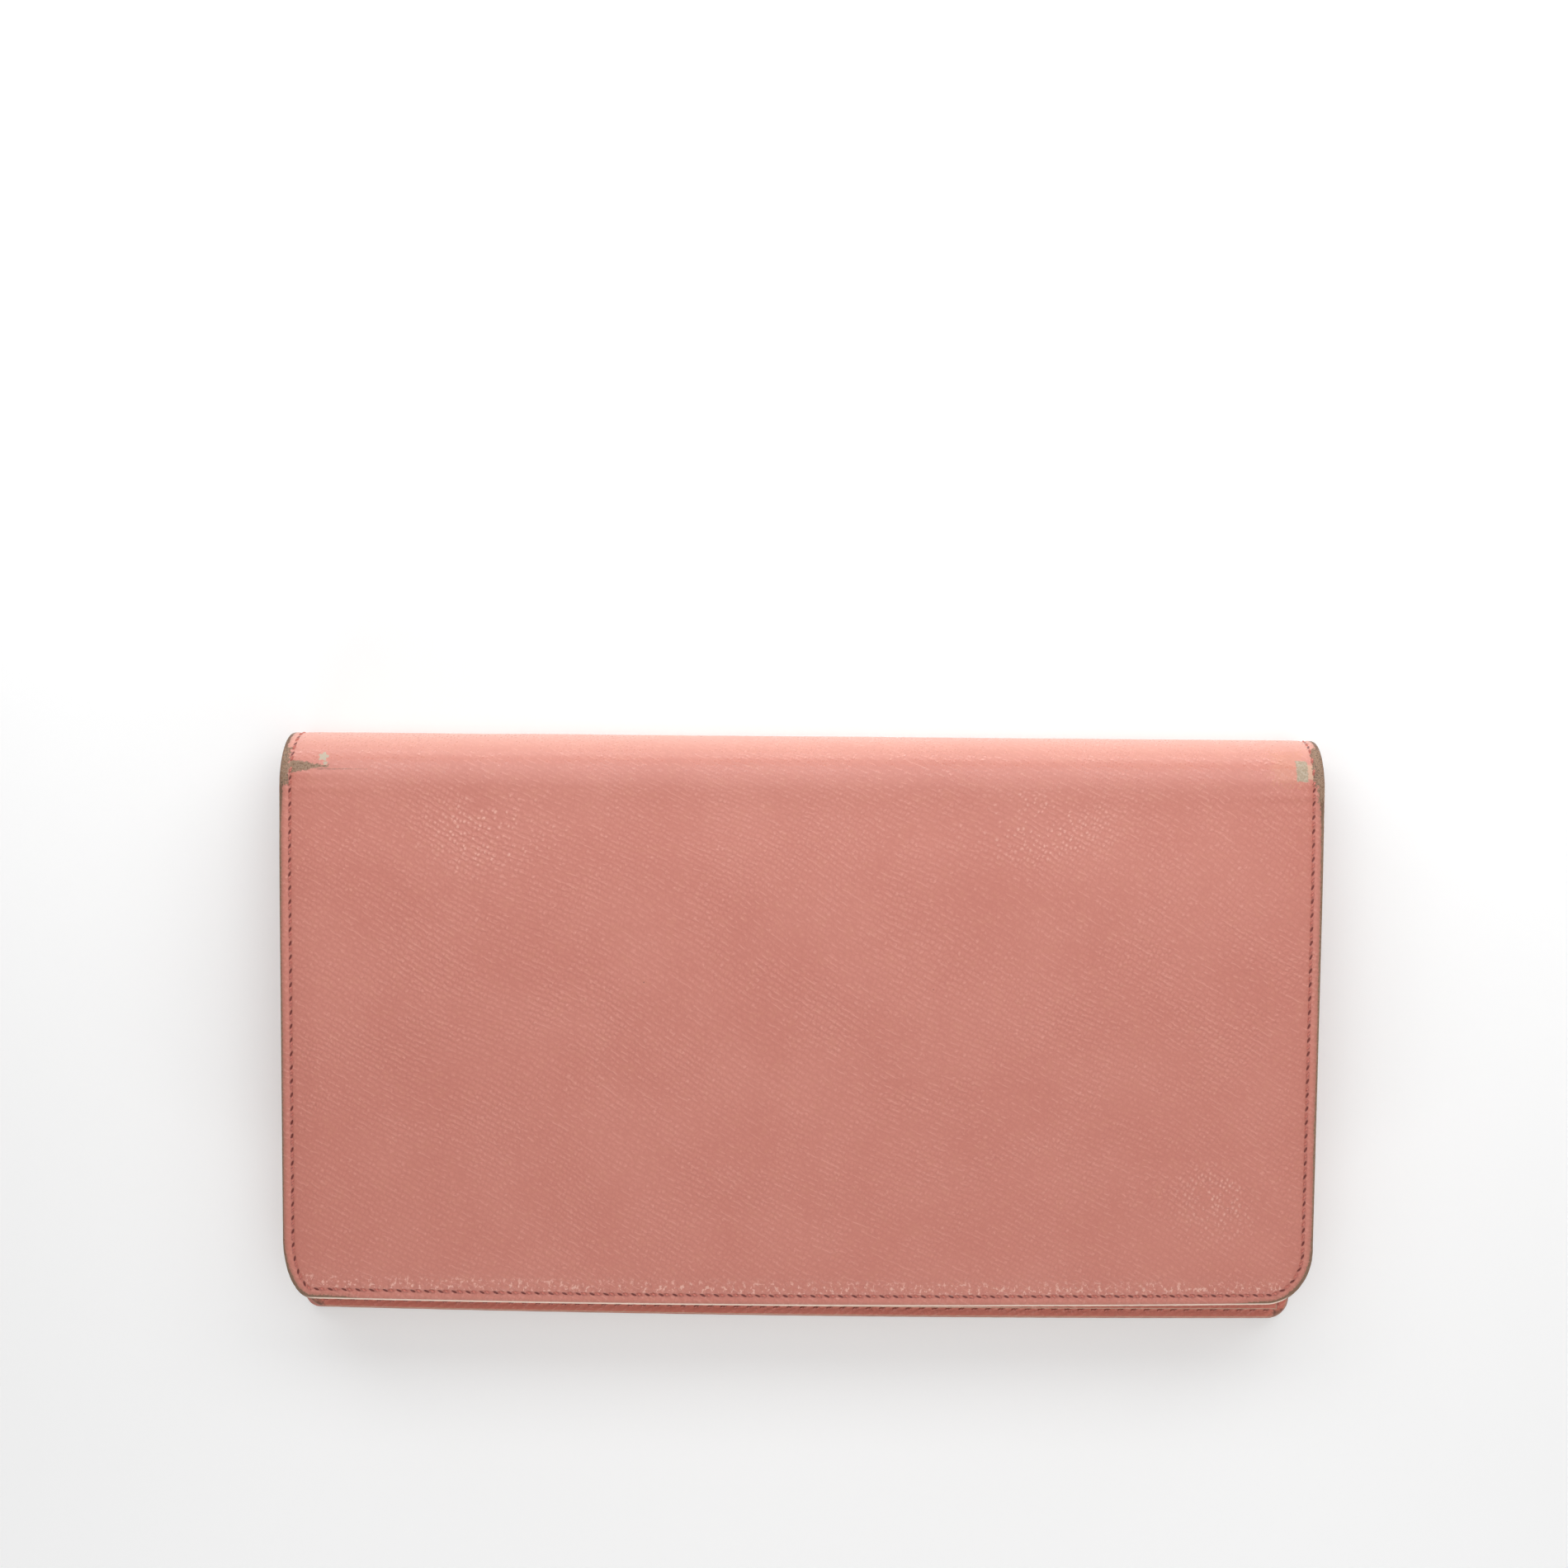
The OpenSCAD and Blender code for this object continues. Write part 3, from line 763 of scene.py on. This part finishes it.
def cut_edge(name):
    g = Graph(name)
    flat = g.attr("flat")
    fibre = g.noise(flat, 3.5, 4.0, 0.7)
    blot = g.noise(flat, 0.35, 3.0, 0.6)
    colour = g.mix(g.step(fibre, 0.3, 0.7), BARE_TAN, linear((150, 122, 102)))
    colour = g.mix(g.mul(g.step(blot, 0.5, 0.66), 0.7), colour, BARE_BROWN)
    colour = g.mix(g.mul(g.step(blot, 0.46, 0.36), 0.6), colour, SALMON_DEEP)
    g.bump(fibre, 0.08)
    return g.surface(colour, 0.72, specular=0.3)


def lining(name, rgb):
    g = Graph(name)
    flat = g.attr("flat")
    nap = g.noise(flat, 3.0, 4.0, 0.65)
    tone = g.noise(flat, 0.06, 3.0)
    base = linear(rgb)
    dark = shaded(base, 0.8)
    colour = g.mix(g.step(tone, 0.3, 0.7), base, dark)
    colour = g.mix(g.mul(g.step(nap, 0.55, 0.75), 0.3), colour, dark)
    g.bump(nap, 0.05)
    return g.surface(colour, 0.62, specular=0.35, sheen=0.1)


def woven(name, rgb, pitch, chevron=0.0):
    """Plain weave, or a herringbone tape when chevron sets the width of its stripes."""
    g = Graph(name)
    flat = g.attr("flat")
    xs = g.split(flat)
    if chevron:
        side = g.math("PINGPONG", xs[1], chevron)
        lean = g.add(xs[0], side)
    else:
        lean = xs[0]
    warp = g.math("SINE", g.mul(lean, 2 * math.pi / pitch))
    weft = g.math("SINE", g.mul(xs[1], 2 * math.pi / pitch))
    height = g.add(g.mul(warp, 0.5), g.mul(weft, 0.2 if chevron else 0.5))
    fuzz = g.noise(flat, 4.0, 3.0)
    base = linear(rgb)
    dark = shaded(base, 0.62)
    colour = g.mix(g.step(g.add(height, g.mul(fuzz, 0.6)), -0.5, 0.8), dark, base)
    g.bump(height, 0.06)
    return g.surface(colour, 0.85, specular=0.2, sheen=0.25)


def thread_material(name, rgb):
    g = Graph(name)
    t = g.split(g.attr("twist"))
    ply = g.math("SINE", g.add(g.mul(t[0], 9.0), g.mul(t[1], 2.0)))
    fuzz = g.noise(g.attr("twist"), 6.0, 3.0)
    base = linear(rgb)
    dark = shaded(base, 0.72)
    colour = g.mix(g.step(g.add(ply, g.mul(fuzz, 0.8)), -0.9, 0.7), dark, base)
    # the thread is painted darker towards both ends, where it dives into its holes: painted shade
    ends = g.step(g.abs(t[0]), 0.6, 0.86)
    colour = g.mix(g.mul(ends, 0.4), colour, SALMON_DEEP)
    g.bump(ply, 0.05)
    return g.surface(colour, 0.6, specular=0.35, sheen=0.15)


def brass(name):
    g = Graph(name)
    c = g.node("TexCoord").outputs["Object"]
    scuff = g.noise(g.turn(c, 20, (1.0, 6.0, 1.0)), 1400.0, 4.0, 0.6)
    cloud = g.noise(c, 180.0, 3.0)
    colour = g.mix(g.step(cloud, 0.35, 0.7), linear((226, 192, 124)), linear((196, 156, 92)))
    rough = g.step(scuff, 0.3, 0.7, 0.2, 0.36)
    g.bump(scuff, 0.004)
    return g.surface(colour, rough, metallic=1.0)


def board_material(name):
    g = Graph(name)
    c = g.node("TexCoord").outputs["Object"]
    pulp = g.noise(c, 900.0, 4.0, 0.7)
    colour = g.mix(g.step(pulp, 0.3, 0.7), linear((186, 164, 132)), linear((160, 138, 106)))
    g.bump(pulp, 0.03)
    return g.surface(colour, 0.85, specular=0.2)


cover_leather = leather("cover_leather", SALMON, True)
pocket_leather = leather("pocket_leather", SALMON_RICH, False)
edge_paint = cut_edge("cut_edge")
cover_lining = lining("cover_lining", (190, 126, 112))
pocket_back = lining("pocket_back", (176, 116, 104))
coin_cloth = woven("coin_cloth", (188, 168, 146), 0.55)
tape_cloth = woven("zip_tape_cloth", (176, 112, 100), 0.8, 1.05)
thread_pink = thread_material("thread_pink", (202, 120, 106))
metal = brass("zip_brass")
board = board_material("board_pulp")

# ---------------------------------------------------------------- the cover: one sheet, bent round the fold
q = columns(WIDTH / 2, 1.0)
S = np.repeat(rows_s[:, None], len(q), 1)
X = np.where(q[None, :] < 0, half_width(S, -1) * q[None, :], half_width(S, 1) * q[None, :])
V, U = rim_fields(X, S)
depth = outer_depth(X, S, V)
t_rim = np.clip(1 - V / ROLL, 0, 1)
inner_depth = COVER_T - 0.02 - 0.28 * (1 - np.sqrt(1 - t_rim**2))
flat_field = np.stack([X, S, 0 * X], -1)

corner = np.exp(-(((SHEET_L - S) / 9.0) ** 2)) * smooth((np.abs(X) - 78) / 9)
fold_end = smooth((np.abs(X) - 88) / 3) * smooth((S - at_angle(60)) / 6)
fold_end = fold_end * smooth((at_angle(180) + 7 - S) / 8)
back_corner = np.exp(-((S / 7.0) ** 2)) * smooth((np.abs(X) - 82) / 7)
rim = 0.34 + 0.42 * corner + 0.1 * (X > 0) + 0.4 * fold_end + 0.7 * back_corner
rim = rim + 0.14 * ripple(X, S, 30, 21)
front_edge = smooth((S - SHEET_L + 4) / 3)
rim = np.where(front_edge > 0.5, np.minimum(rim, 0.22 + 0.6 * corner), rim)
cream = front_edge * smooth((91.5 - np.abs(X)) / 2.5)
dark = np.clip(0.35 + 0.7 * fold_end + 0.3 * corner, 0, 1)
pucker = 0.18 + 0.82 * smooth((S - SHEET_L + 7) / 4)
seam_field = np.stack([U, V - INSET, pucker], -1)

cover = Shell(
    on_sheet(X, S, depth),
    on_sheet(X, S, inner_depth),
    {"flat": flat_field, "edge": V, "rim": rim, "cream": cream, "dark": dark, "seam": seam_field},
    ends=(-1, -1),
)
breaks = [0] + [
    int(np.argmin(np.abs(rows_s - (FLAT_BACK + k * STRIP_ARC)))) for k in range(1, STRIPS)
] + [len(rows_s) - 1]


def bend(obj, k):
    """Bakes obj's placement into its mesh; k is not used."""
    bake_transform(obj)


REPLACED = [
    ["back_cover", "back_lining"],
    ["spine_leather_1", "spine_lining_1", "spine_leather_2", "spine_lining_2"],
    ["front_cover", "front_lining"],
]
cover_names = ["cover_back", "cover_fold", "cover_front"]
for k, name in enumerate(cover_names):
    obj = cover.piece(name, [cover_leather, edge_paint, cover_lining], breaks[k], breaks[k + 1])
    bend(obj, k)
    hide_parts(*REPLACED[k])

# The seam runs right round the cover, over the fold's two ends.
stitch_n = int(round(seam_len / PITCH))
stitch_u = np.arange(stitch_n) * seam_len / stitch_n
stitch_i = np.round(stitch_u / seam_len * len(seam_loop)).astype(int) % len(seam_loop)
seam_at, seam_dir = seam_loop[stitch_i], tangents(seam_loop, 3)[stitch_i]


def on_cover(x, s, lift):
    v = np.full(x.shape, INSET)
    return on_sheet(x, s, outer_depth(x, s, v) - lift)


edges_s = [-1] + [rows_s[b] for b in breaks[1:-1]] + [SHEET_L + 1]
seam_names = ["seam_back", "seam_fold", "seam_front"]
for k, name in enumerate(seam_names):
    mine = (seam_at[:, 1] >= edges_s[k]) & (seam_at[:, 1] < edges_s[k + 1])
    obj = threads(name, seam_at[mine], seam_dir[mine], on_cover)
    bend(obj, k)
    if k == 0:
        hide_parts("back_seam_outer")
    if k == STRIPS - 1:
        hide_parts("front_seam_outer")


# ---------------------------------------------------------------- flat pieces inside
def slab(
    name, body, nodes, half, y0, y1, face, back, mats, up=True, corner=0.0,
    centre=0.0, step=1.4, roll=0.3, drop=0.18, hole=None, extra=(),
):
    """A flat piece with a rounded rim; face and back give z from x, y and rim distance."""
    quarter = np.linspace(0, math.pi / 2, 10)
    rows = [y0 + corner * (1 - np.cos(quarter))] if corner else [np.array([y0])]
    rows += [y0 + np.array(RIM_STEPS[1:]), y1 - np.array(RIM_STEPS)]
    inner = np.arange(max(y0 + corner, y0 + RIM_REACH), y1 - RIM_REACH, step)
    rows += [inner, np.array(extra, float)]
    rows = np.unique(np.round(np.concatenate(rows), 3))
    share = columns(half, step)
    if hole:
        share = np.unique(np.round(np.concatenate([share, [-hole[0] / half, hole[0] / half]]), 5))
        rows = np.unique(np.concatenate([rows, [hole[1], hole[2]]]))
    y = np.repeat(rows[:, None], len(share), 1)
    t = np.clip(1 - (y - y0) / corner, 0, 1) if corner else 0 * y
    w = half - corner * (1 - np.sqrt(1 - t * t))
    x = w * share[None, :]
    v = np.minimum(np.minimum(half - np.abs(x), y - y0), y1 - y)
    if corner:
        cx, cy = np.abs(x) - (half - corner), (y0 + corner) - y
        at_corner = (cx > 0) & (cy > 0)
        v = np.where(at_corner, corner - np.hypot(cx, cy), v)
    v = np.maximum(v, 0)
    t = np.clip(1 - v / roll, 0, 1)
    rounding = drop * (1 - np.sqrt(1 - t * t))
    sign = 1 if up else -1
    zf = face(x, y, v) - sign * rounding
    zb = back(x, y, v) + 0 * x
    lain = settled(x + centre, y, not up)
    outer = np.stack([x + centre, lain, zf], -1)
    inner = np.stack([x + centre, lain, zb], -1)
    flat = np.stack([x + centre * 3.1, y * (1 if up else -1) + FLAT_LIFT * up, 0 * x], -1)
    shell = Shell(outer, inner, {"flat": flat, "edge": v}, ends=(-1, 1), bulge=0.03, flip=up)
    drop_faces = None
    if hole:
        mid = shell.points[shell.faces].mean(1)
        drop_faces = (np.abs(mid[:, 0]) < hole[0]) & (mid[:, 1] > hole[1]) & (mid[:, 1] < hole[2])
    obj = shell.piece(name, mats, drop=drop_faces)
    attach(obj, body)
    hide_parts(*nodes)


leather_mats = [pocket_leather, edge_paint, pocket_back]
bill_low, bill_high = low("bill_pocket"), high("bill_pocket")
CARD_Z = bill_high[2]


def pocket_seam(v, from_mouth):
    """Depth of a pocket's seam; it stops short of the mouth."""
    return POCKET_GROOVE * np.exp(-(((v - (INSET - 0.5)) / 0.5) ** 2)) * (from_mouth > 3)


def bill_face(x, y, v):
    crease = 0.1 * np.exp(-(((bill_high[1] - y - 2.2) / 0.35) ** 2))
    return CARD_Z - pocket_seam(v, bill_high[1] - y) - crease


def bill_back(x, y, v):
    inside = (v > 3.5) | ((bill_high[1] - y < 3.6) & (np.abs(x) < bill_high[0] - 3.5))
    return np.where(inside, bill_low[2] + 0.4, bill_low[2] + SKIN_GAP)


slab(
    "bill_pocket_leather", "back_half", ["bill_pocket"],
    bill_high[0], bill_low[1], bill_high[1], bill_face, bill_back, leather_mats, corner=3.6,
)

def gape(x, from_mouth, half):
    """How far a card slot's mouth has lifted with use."""
    return 0.22 * (1 - (x / half) ** 2) * smooth(1 - from_mouth / 16)


for word in ("left", "right"):
    for k in range(1, 5):
        node = f"card_slot_{word}_{k}"
        a, b = low(node), high(node)
        half, mid = (b[0] - a[0]) / 2, (a[0] + b[0]) / 2

        def face(x, y, v, b=b, half=half, k=k, mid=mid):
            crease = 0.12 * np.exp(-(((b[1] - y - 1.7) / 0.3) ** 2))
            top = b[2] + gape(x, b[1] - y, half) - crease - 0.03
            return top + 0.03 * ripple(x + mid, y, 22, 30 + k)

        def under(x, y, v, a=a, b=b, half=half):
            slit = (half - np.abs(x) > 2.3) & (b[1] - y < 45)
            return np.where(slit, a[2] + 0.35 + gape(x, b[1] - y, half), a[2] + SKIN_GAP)

        slab(
            node + "_leather", "back_half", [node],
            half, a[1], b[1], face, under, leather_mats, centre=mid,
        )


def slot_top(y):
    """Height of the card side's top layer at y."""
    z = np.full(np.shape(y), CARD_Z)
    for k in range(1, 5):
        z = np.where(y < high(f"card_slot_left_{k}")[1], high(f"card_slot_left_{k}")[2], z)
    return z


def run_of(points):
    """Stitch centres and directions along an open line of points."""
    p = np.array(points, float)
    length = np.concatenate([[0], np.cumsum(np.linalg.norm(np.diff(p, axis=0), axis=1))])
    n = max(1, int(length[-1] / PITCH))
    u = (np.arange(n) + 0.5) * length[-1] / n
    at = np.stack([np.interp(u, length, p[:, k]) for k in (0, 1)], 1)
    ahead = np.stack([np.interp(u + 0.05, length, p[:, k]) for k in (0, 1)], 1)
    behind = np.stack([np.interp(u - 0.05, length, p[:, k]) for k in (0, 1)], 1)
    d = ahead - behind
    return at, d / np.maximum(np.linalg.norm(d, axis=1), 1e-9)[:, None]


def three_sides(half, y0, y1, inset, corner):
    """A line inside a panel's left, free and right edges."""
    r = max(0.5, corner - inset)
    a = np.linspace(0, math.pi / 2, 16)
    x, y = half - inset, y0 + inset
    down = [(-x, y1), *zip(-x + r - r * np.cos(a), y + r - r * np.sin(a))]
    return down + [(-px, py) for px, py in down[::-1]]


def sew(name, body, nodes, lines, place, **options):
    """Stitches along those open lines, riding on body."""
    at, way = zip(*(run_of(line) for line in lines))
    obj = threads(name, np.vstack(at), np.vstack(way), place, **options)
    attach(obj, body)
    if nodes:
        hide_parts(*nodes)


half_cover = WIDTH / 2
sew(
    "seam_back_inside", "back_half", ["back_seam_inner"],
    [three_sides(half_cover, BACK_Y, bill_high[1] - 1, INSET, BACK_CORNER[1])],
    lambda x, y, lift: np.stack([x, settled(x, y, False), CARD_Z - POCKET_GROOVE + lift], -1),
)
slot_lines = []
for node in ("card_slot_left_1", "card_slot_right_1"):
    a, b = low(node), high(node)
    x0, x1, y0 = a[0] + SLOT_SEAM[0], b[0] - SLOT_SEAM[0], a[1] + SLOT_SEAM[0]
    y1 = b[1] - SLOT_SEAM[1]
    slot_lines.append([(x0, y1), (x0, y0), (x1, y0), (x1, y1)])
sew(
    "seam_card_slots", "back_half", [], slot_lines,
    lambda x, y, lift: np.stack([x, settled(x, y, False), slot_top(y) - 0.05 + lift], -1),
    **SMALL_STITCH,
)

# front half, seen from below while the wallet is closed
slip_low, slip_high = low("slip_pocket"), high("slip_pocket")
SLIP_Z = slip_low[2]


def slip_face(x, y, v):
    return SLIP_Z + pocket_seam(v, slip_high[1] - y)


def slip_back(x, y, v):
    inside = (v > 3.5) | (slip_high[1] - y < 3.6)
    return np.where(inside, slip_high[2] - 0.4, slip_high[2] - SKIN_GAP)


slab(
    "slip_pocket_leather", "front_half", ["slip_pocket"],
    slip_high[0], slip_low[1], slip_high[1], slip_face, slip_back, leather_mats, up=False, corner=8.7,
)
sew(
    "seam_front_inside", "front_half", ["front_seam_inner"],
    [three_sides(half_cover, FRONT_Y, slip_high[1] - 1, INSET, 9.0)],
    lambda x, y, lift: np.stack([x, settled(x, y, True), SLIP_Z + POCKET_GROOVE - lift], -1),
)
coin_low, coin_high = low("coin_lining"), high("coin_lining")
slab(
    "coin_pocket_cloth", "front_half", ["coin_lining"],
    coin_high[0], coin_low[1], coin_high[1],
    lambda x, y, v: np.where(v > 1.0, coin_high[2] - 0.5, coin_low[2] + SKIN_GAP),
    lambda x, y, v: 0 * x + coin_high[2] - SKIN_GAP,
    [coin_cloth] * 3, up=False, corner=6.0, drop=0.0,
)
panel_low, panel_high = low("coin_panel"), high("coin_panel")
zip_low, zip_high = low("zip_teeth_lower"), high("zip_teeth_upper")
ZIP_Y = (zip_low[1] + zip_high[1]) / 2
WINDOW = (WINDOW_HALF[0], ZIP_Y - WINDOW_HALF[1], ZIP_Y + WINDOW_HALF[1])


def panel_face(x, y, v):
    gap = np.maximum(np.abs(x) - WINDOW[0], np.maximum(WINDOW[1] - y, y - WINDOW[2]))
    lip = 0.22 * (1 - smooth(gap / 0.5)) * (gap < 0.6)
    seam = 0.1 * np.exp(-(((gap - WINDOW_SEAM) / 0.35) ** 2))
    bulge = -0.55 * smooth(v / 22) * smooth((WINDOW[1] - y) / 12)
    return panel_low[2] + lip + seam + bulge


slab(
    "coin_panel_leather", "front_half", ["coin_panel"],
    panel_high[0], panel_low[1], panel_high[1], panel_face,
    lambda x, y, v: 0 * x + panel_high[2] - SKIN_GAP, leather_mats, up=False, corner=7.0,
    hole=WINDOW,
    extra=[WINDOW[1] - 0.5, WINDOW[2] + 0.5, WINDOW[1] - WINDOW_SEAM, WINDOW[2] + WINDOW_SEAM],
)


def window_lip():
    """The zip window's four cut walls."""
    x, y0, y1 = WINDOW
    ring = [(-x, y0), (x, y0), (x, y1), (-x, y1)]
    points, faces = [], []
    for i, (a, b) in enumerate(zip(ring, ring[1:] + ring[:1])):
        n = len(points)
        for px, py in (a, b):
            points += [(px, py, panel_low[2] + 0.21), (px, py, panel_high[2] - SKIN_GAP)]
        faces.append((n, n + 2, n + 3, n + 1))
    return make_mesh(
        "coin_window_edge", points, faces, [edge_paint],
        fields={"flat": np.array(points)}, smoothly=False,
    )


lip = window_lip()
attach(lip, "front_half")
wx, wy0, wy1 = WINDOW[0] + WINDOW_SEAM, WINDOW[1] - WINDOW_SEAM, WINDOW[2] + WINDOW_SEAM
sew(
    "seam_coin_panel", "front_half", [],
    [
        [(-wx, wy0), (wx, wy0)], [(wx, wy1), (-wx, wy1)],
        [(-wx, wy1), (-wx, wy0)], [(wx, wy0), (wx, wy1)],
        three_sides(panel_high[0], panel_low[1], panel_high[1] - 1, 1.5, 7.0),
    ],
    lambda x, y, lift: np.stack([x, settled(x, y, True), panel_low[2] + 0.08 - lift], -1),
    **SMALL_STITCH,
)
for node in ("zip_tape_lower", "zip_tape_upper"):
    a, b = low(node), high(node)
    slab(
        node + "_cloth", "front_half", [node], b[0], a[1], b[1],
        lambda x, y, v, a=a: 0 * x + a[2] + 0.02, lambda x, y, v, b=b: 0 * x + b[2],
        [tape_cloth] * 3, up=False, drop=0.08, step=4.0,
    )


def teeth(name, node, side):
    """One row of metal teeth, each clamped on its tape's edge and narrowing to a nib."""
    a, b = low(node), high(node)
    n = int(round((b[0] - a[0]) / TOOTH_PITCH))
    near, far = 0.24, 1.5
    profile = np.array([
        (-0.45, far), (0.45, far), (0.45, 0.95), (0.36, 0.55), (0.3, near),
        (-0.3, near), (-0.36, 0.55), (-0.45, 0.95),
    ])
    centre = profile.mean(0)
    zs = [(a[2] - 0.05, 0.8), (a[2] + 0.12, 1.0), (b[2] - 0.12, 1.0), (b[2] + 0.05, 0.8)]
    points, faces = [], []
    for i in range(n):
        cx = a[0] + 0.41 + i * TOOTH_PITCH
        base = len(points)
        for z, size in zs:
            for px, py in (profile - centre) * size + centre:
                points.append((cx + px, ZIP_Y + side * py, z))
        m = len(profile)
        for level in range(3):
            for j in range(m):
                p, q2 = base + level * m + j, base + level * m + (j + 1) % m
                faces.append((p, q2, q2 + m, p + m))
        faces.append(tuple(base + j for j in range(m))[::-1])
        faces.append(tuple(base + 3 * m + j for j in range(m)))
    if side < 0:
        faces = [f[::-1] for f in faces]
    obj = make_mesh(name, points, faces, [metal], smoothly=False)
    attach(obj, "front_half")
    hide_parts(node)


teeth("zip_teeth_row_lower", "zip_teeth_lower", -1)
teeth("zip_teeth_row_upper", "zip_teeth_upper", 1)

# CAD nodes that stay: hard parts get their own finish, and the zip's metal parts a softened edge
for node, mat, soften in (
    ("zip_slider", metal, 0.12), ("zip_pull", metal, 0.12), ("zip_stops", metal, 0.15),
    ("back_board", board, 0.0), ("front_board", board, 0.0),
):
    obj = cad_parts[node]
    obj.data.materials.clear()
    obj.data.materials.append(mat)
    if soften:
        m = obj.modifiers.new("soft_edges", "BEVEL")
        m.width, m.segments, m.limit_method = soften * MM, 2, "ANGLE"
        m.angle_limit = math.radians(40)

# ---------------------------------------------------------------- floor, lights, camera
FLOOR = 4000.0  # half size, mm
FLOOR_GAP = 0.05  # mm below the wallet
g = Graph("floor_white")
# the floor glows, and most of all far out, so that it meets the pale background without an edge
away = g.vmath("LENGTH", g.node("TexCoord").outputs["Object"])
g.put(g.bsdf.inputs["Emission Color"], (1, 1, 1, 1))
g.put(g.bsdf.inputs["Emission Strength"], g.step(away, 0.2, 0.65, 0.1, 0.74))
floor = make_mesh(
    "floor", [(-FLOOR, -FLOOR, 0), (FLOOR, -FLOOR, 0), (FLOOR, FLOOR, 0), (-FLOOR, FLOOR, 0)],
    [(0, 1, 2, 3)], [g.surface((0.93, 0.93, 0.93, 1.0), 0.8, specular=0.1)], smoothly=False,
)
floor.location.z = -FLOOR_GAP * MM


def area_light(name, place, target, size, watts):
    """A white rectangular light; place, target and size are in metres."""
    data = bpy.data.lights.new(name, "AREA")
    data.shape, data.size, data.size_y = "RECTANGLE", *size
    data.energy = watts
    obj = add_object(name, data)
    obj.location = place
    aim = Vector(target) - Vector(place)
    obj.rotation_euler = aim.to_track_quat("-Z", "Y").to_euler()


area_light("overhead", (0.02, 0.1, 0.5), (0, 0.02, 0.01), (0.6, 0.3), 0.82)
area_light("key_over_fold", (0.02, 0.24, 0.25), (0, 0.03, 0.01), (0.6, 0.14), 0.68)
area_light("wall_behind_fold", (0.02, 0.3, 0.085), (0, 0.05, 0.015), (0.8, 0.05), 0.5)
area_light("free_side", (0.0, -0.4, 0.2), (0, -0.05, 0.008), (0.7, 0.1), 0.95)

world = bpy.data.worlds.new("studio")
bpy.context.scene.world = world
world.use_nodes = True
sky = world.node_tree
sky.nodes["Background"].inputs[0].default_value = (1, 1, 1, 1)
# pale towards the horizon, dimmer overhead
rise = sky.nodes.new("ShaderNodeSeparateXYZ")
fade = sky.nodes.new("ShaderNodeMapRange")
fade.interpolation_type = "SMOOTHSTEP"
for key, value in zip((1, 2, 3, 4), (0.0, 0.22, 0.9, 0.2)):
    fade.inputs[key].default_value = value
sky.links.new(sky.nodes.new("ShaderNodeTexCoord").outputs["Generated"], rise.inputs[0])
sky.links.new(rise.outputs["Z"], fade.inputs[0])
sky.links.new(fade.outputs[0], sky.nodes["Background"].inputs[1])

CAMERA_AT = (-1.56, CROWN_Y + 17.54, 380.0)  # mm
CAMERA_TURN = (-4.10, 0.29, 0.48)  # degrees about X, Y, Z from looking straight down
LENS, SENSOR = 45.78, 36.0  # mm
cam_data = bpy.data.cameras.new("camera")
cam_data.lens, cam_data.sensor_width = LENS, SENSOR
cam_data.clip_start, cam_data.clip_end = 0.01, 20.0
cam = add_object("camera", cam_data)
cam.location = Vector(CAMERA_AT) * MM
cam.rotation_euler = Euler([math.radians(a) for a in CAMERA_TURN], "XYZ")
bpy.context.scene.camera = cam
bpy.context.scene.view_settings.view_transform = "Standard"
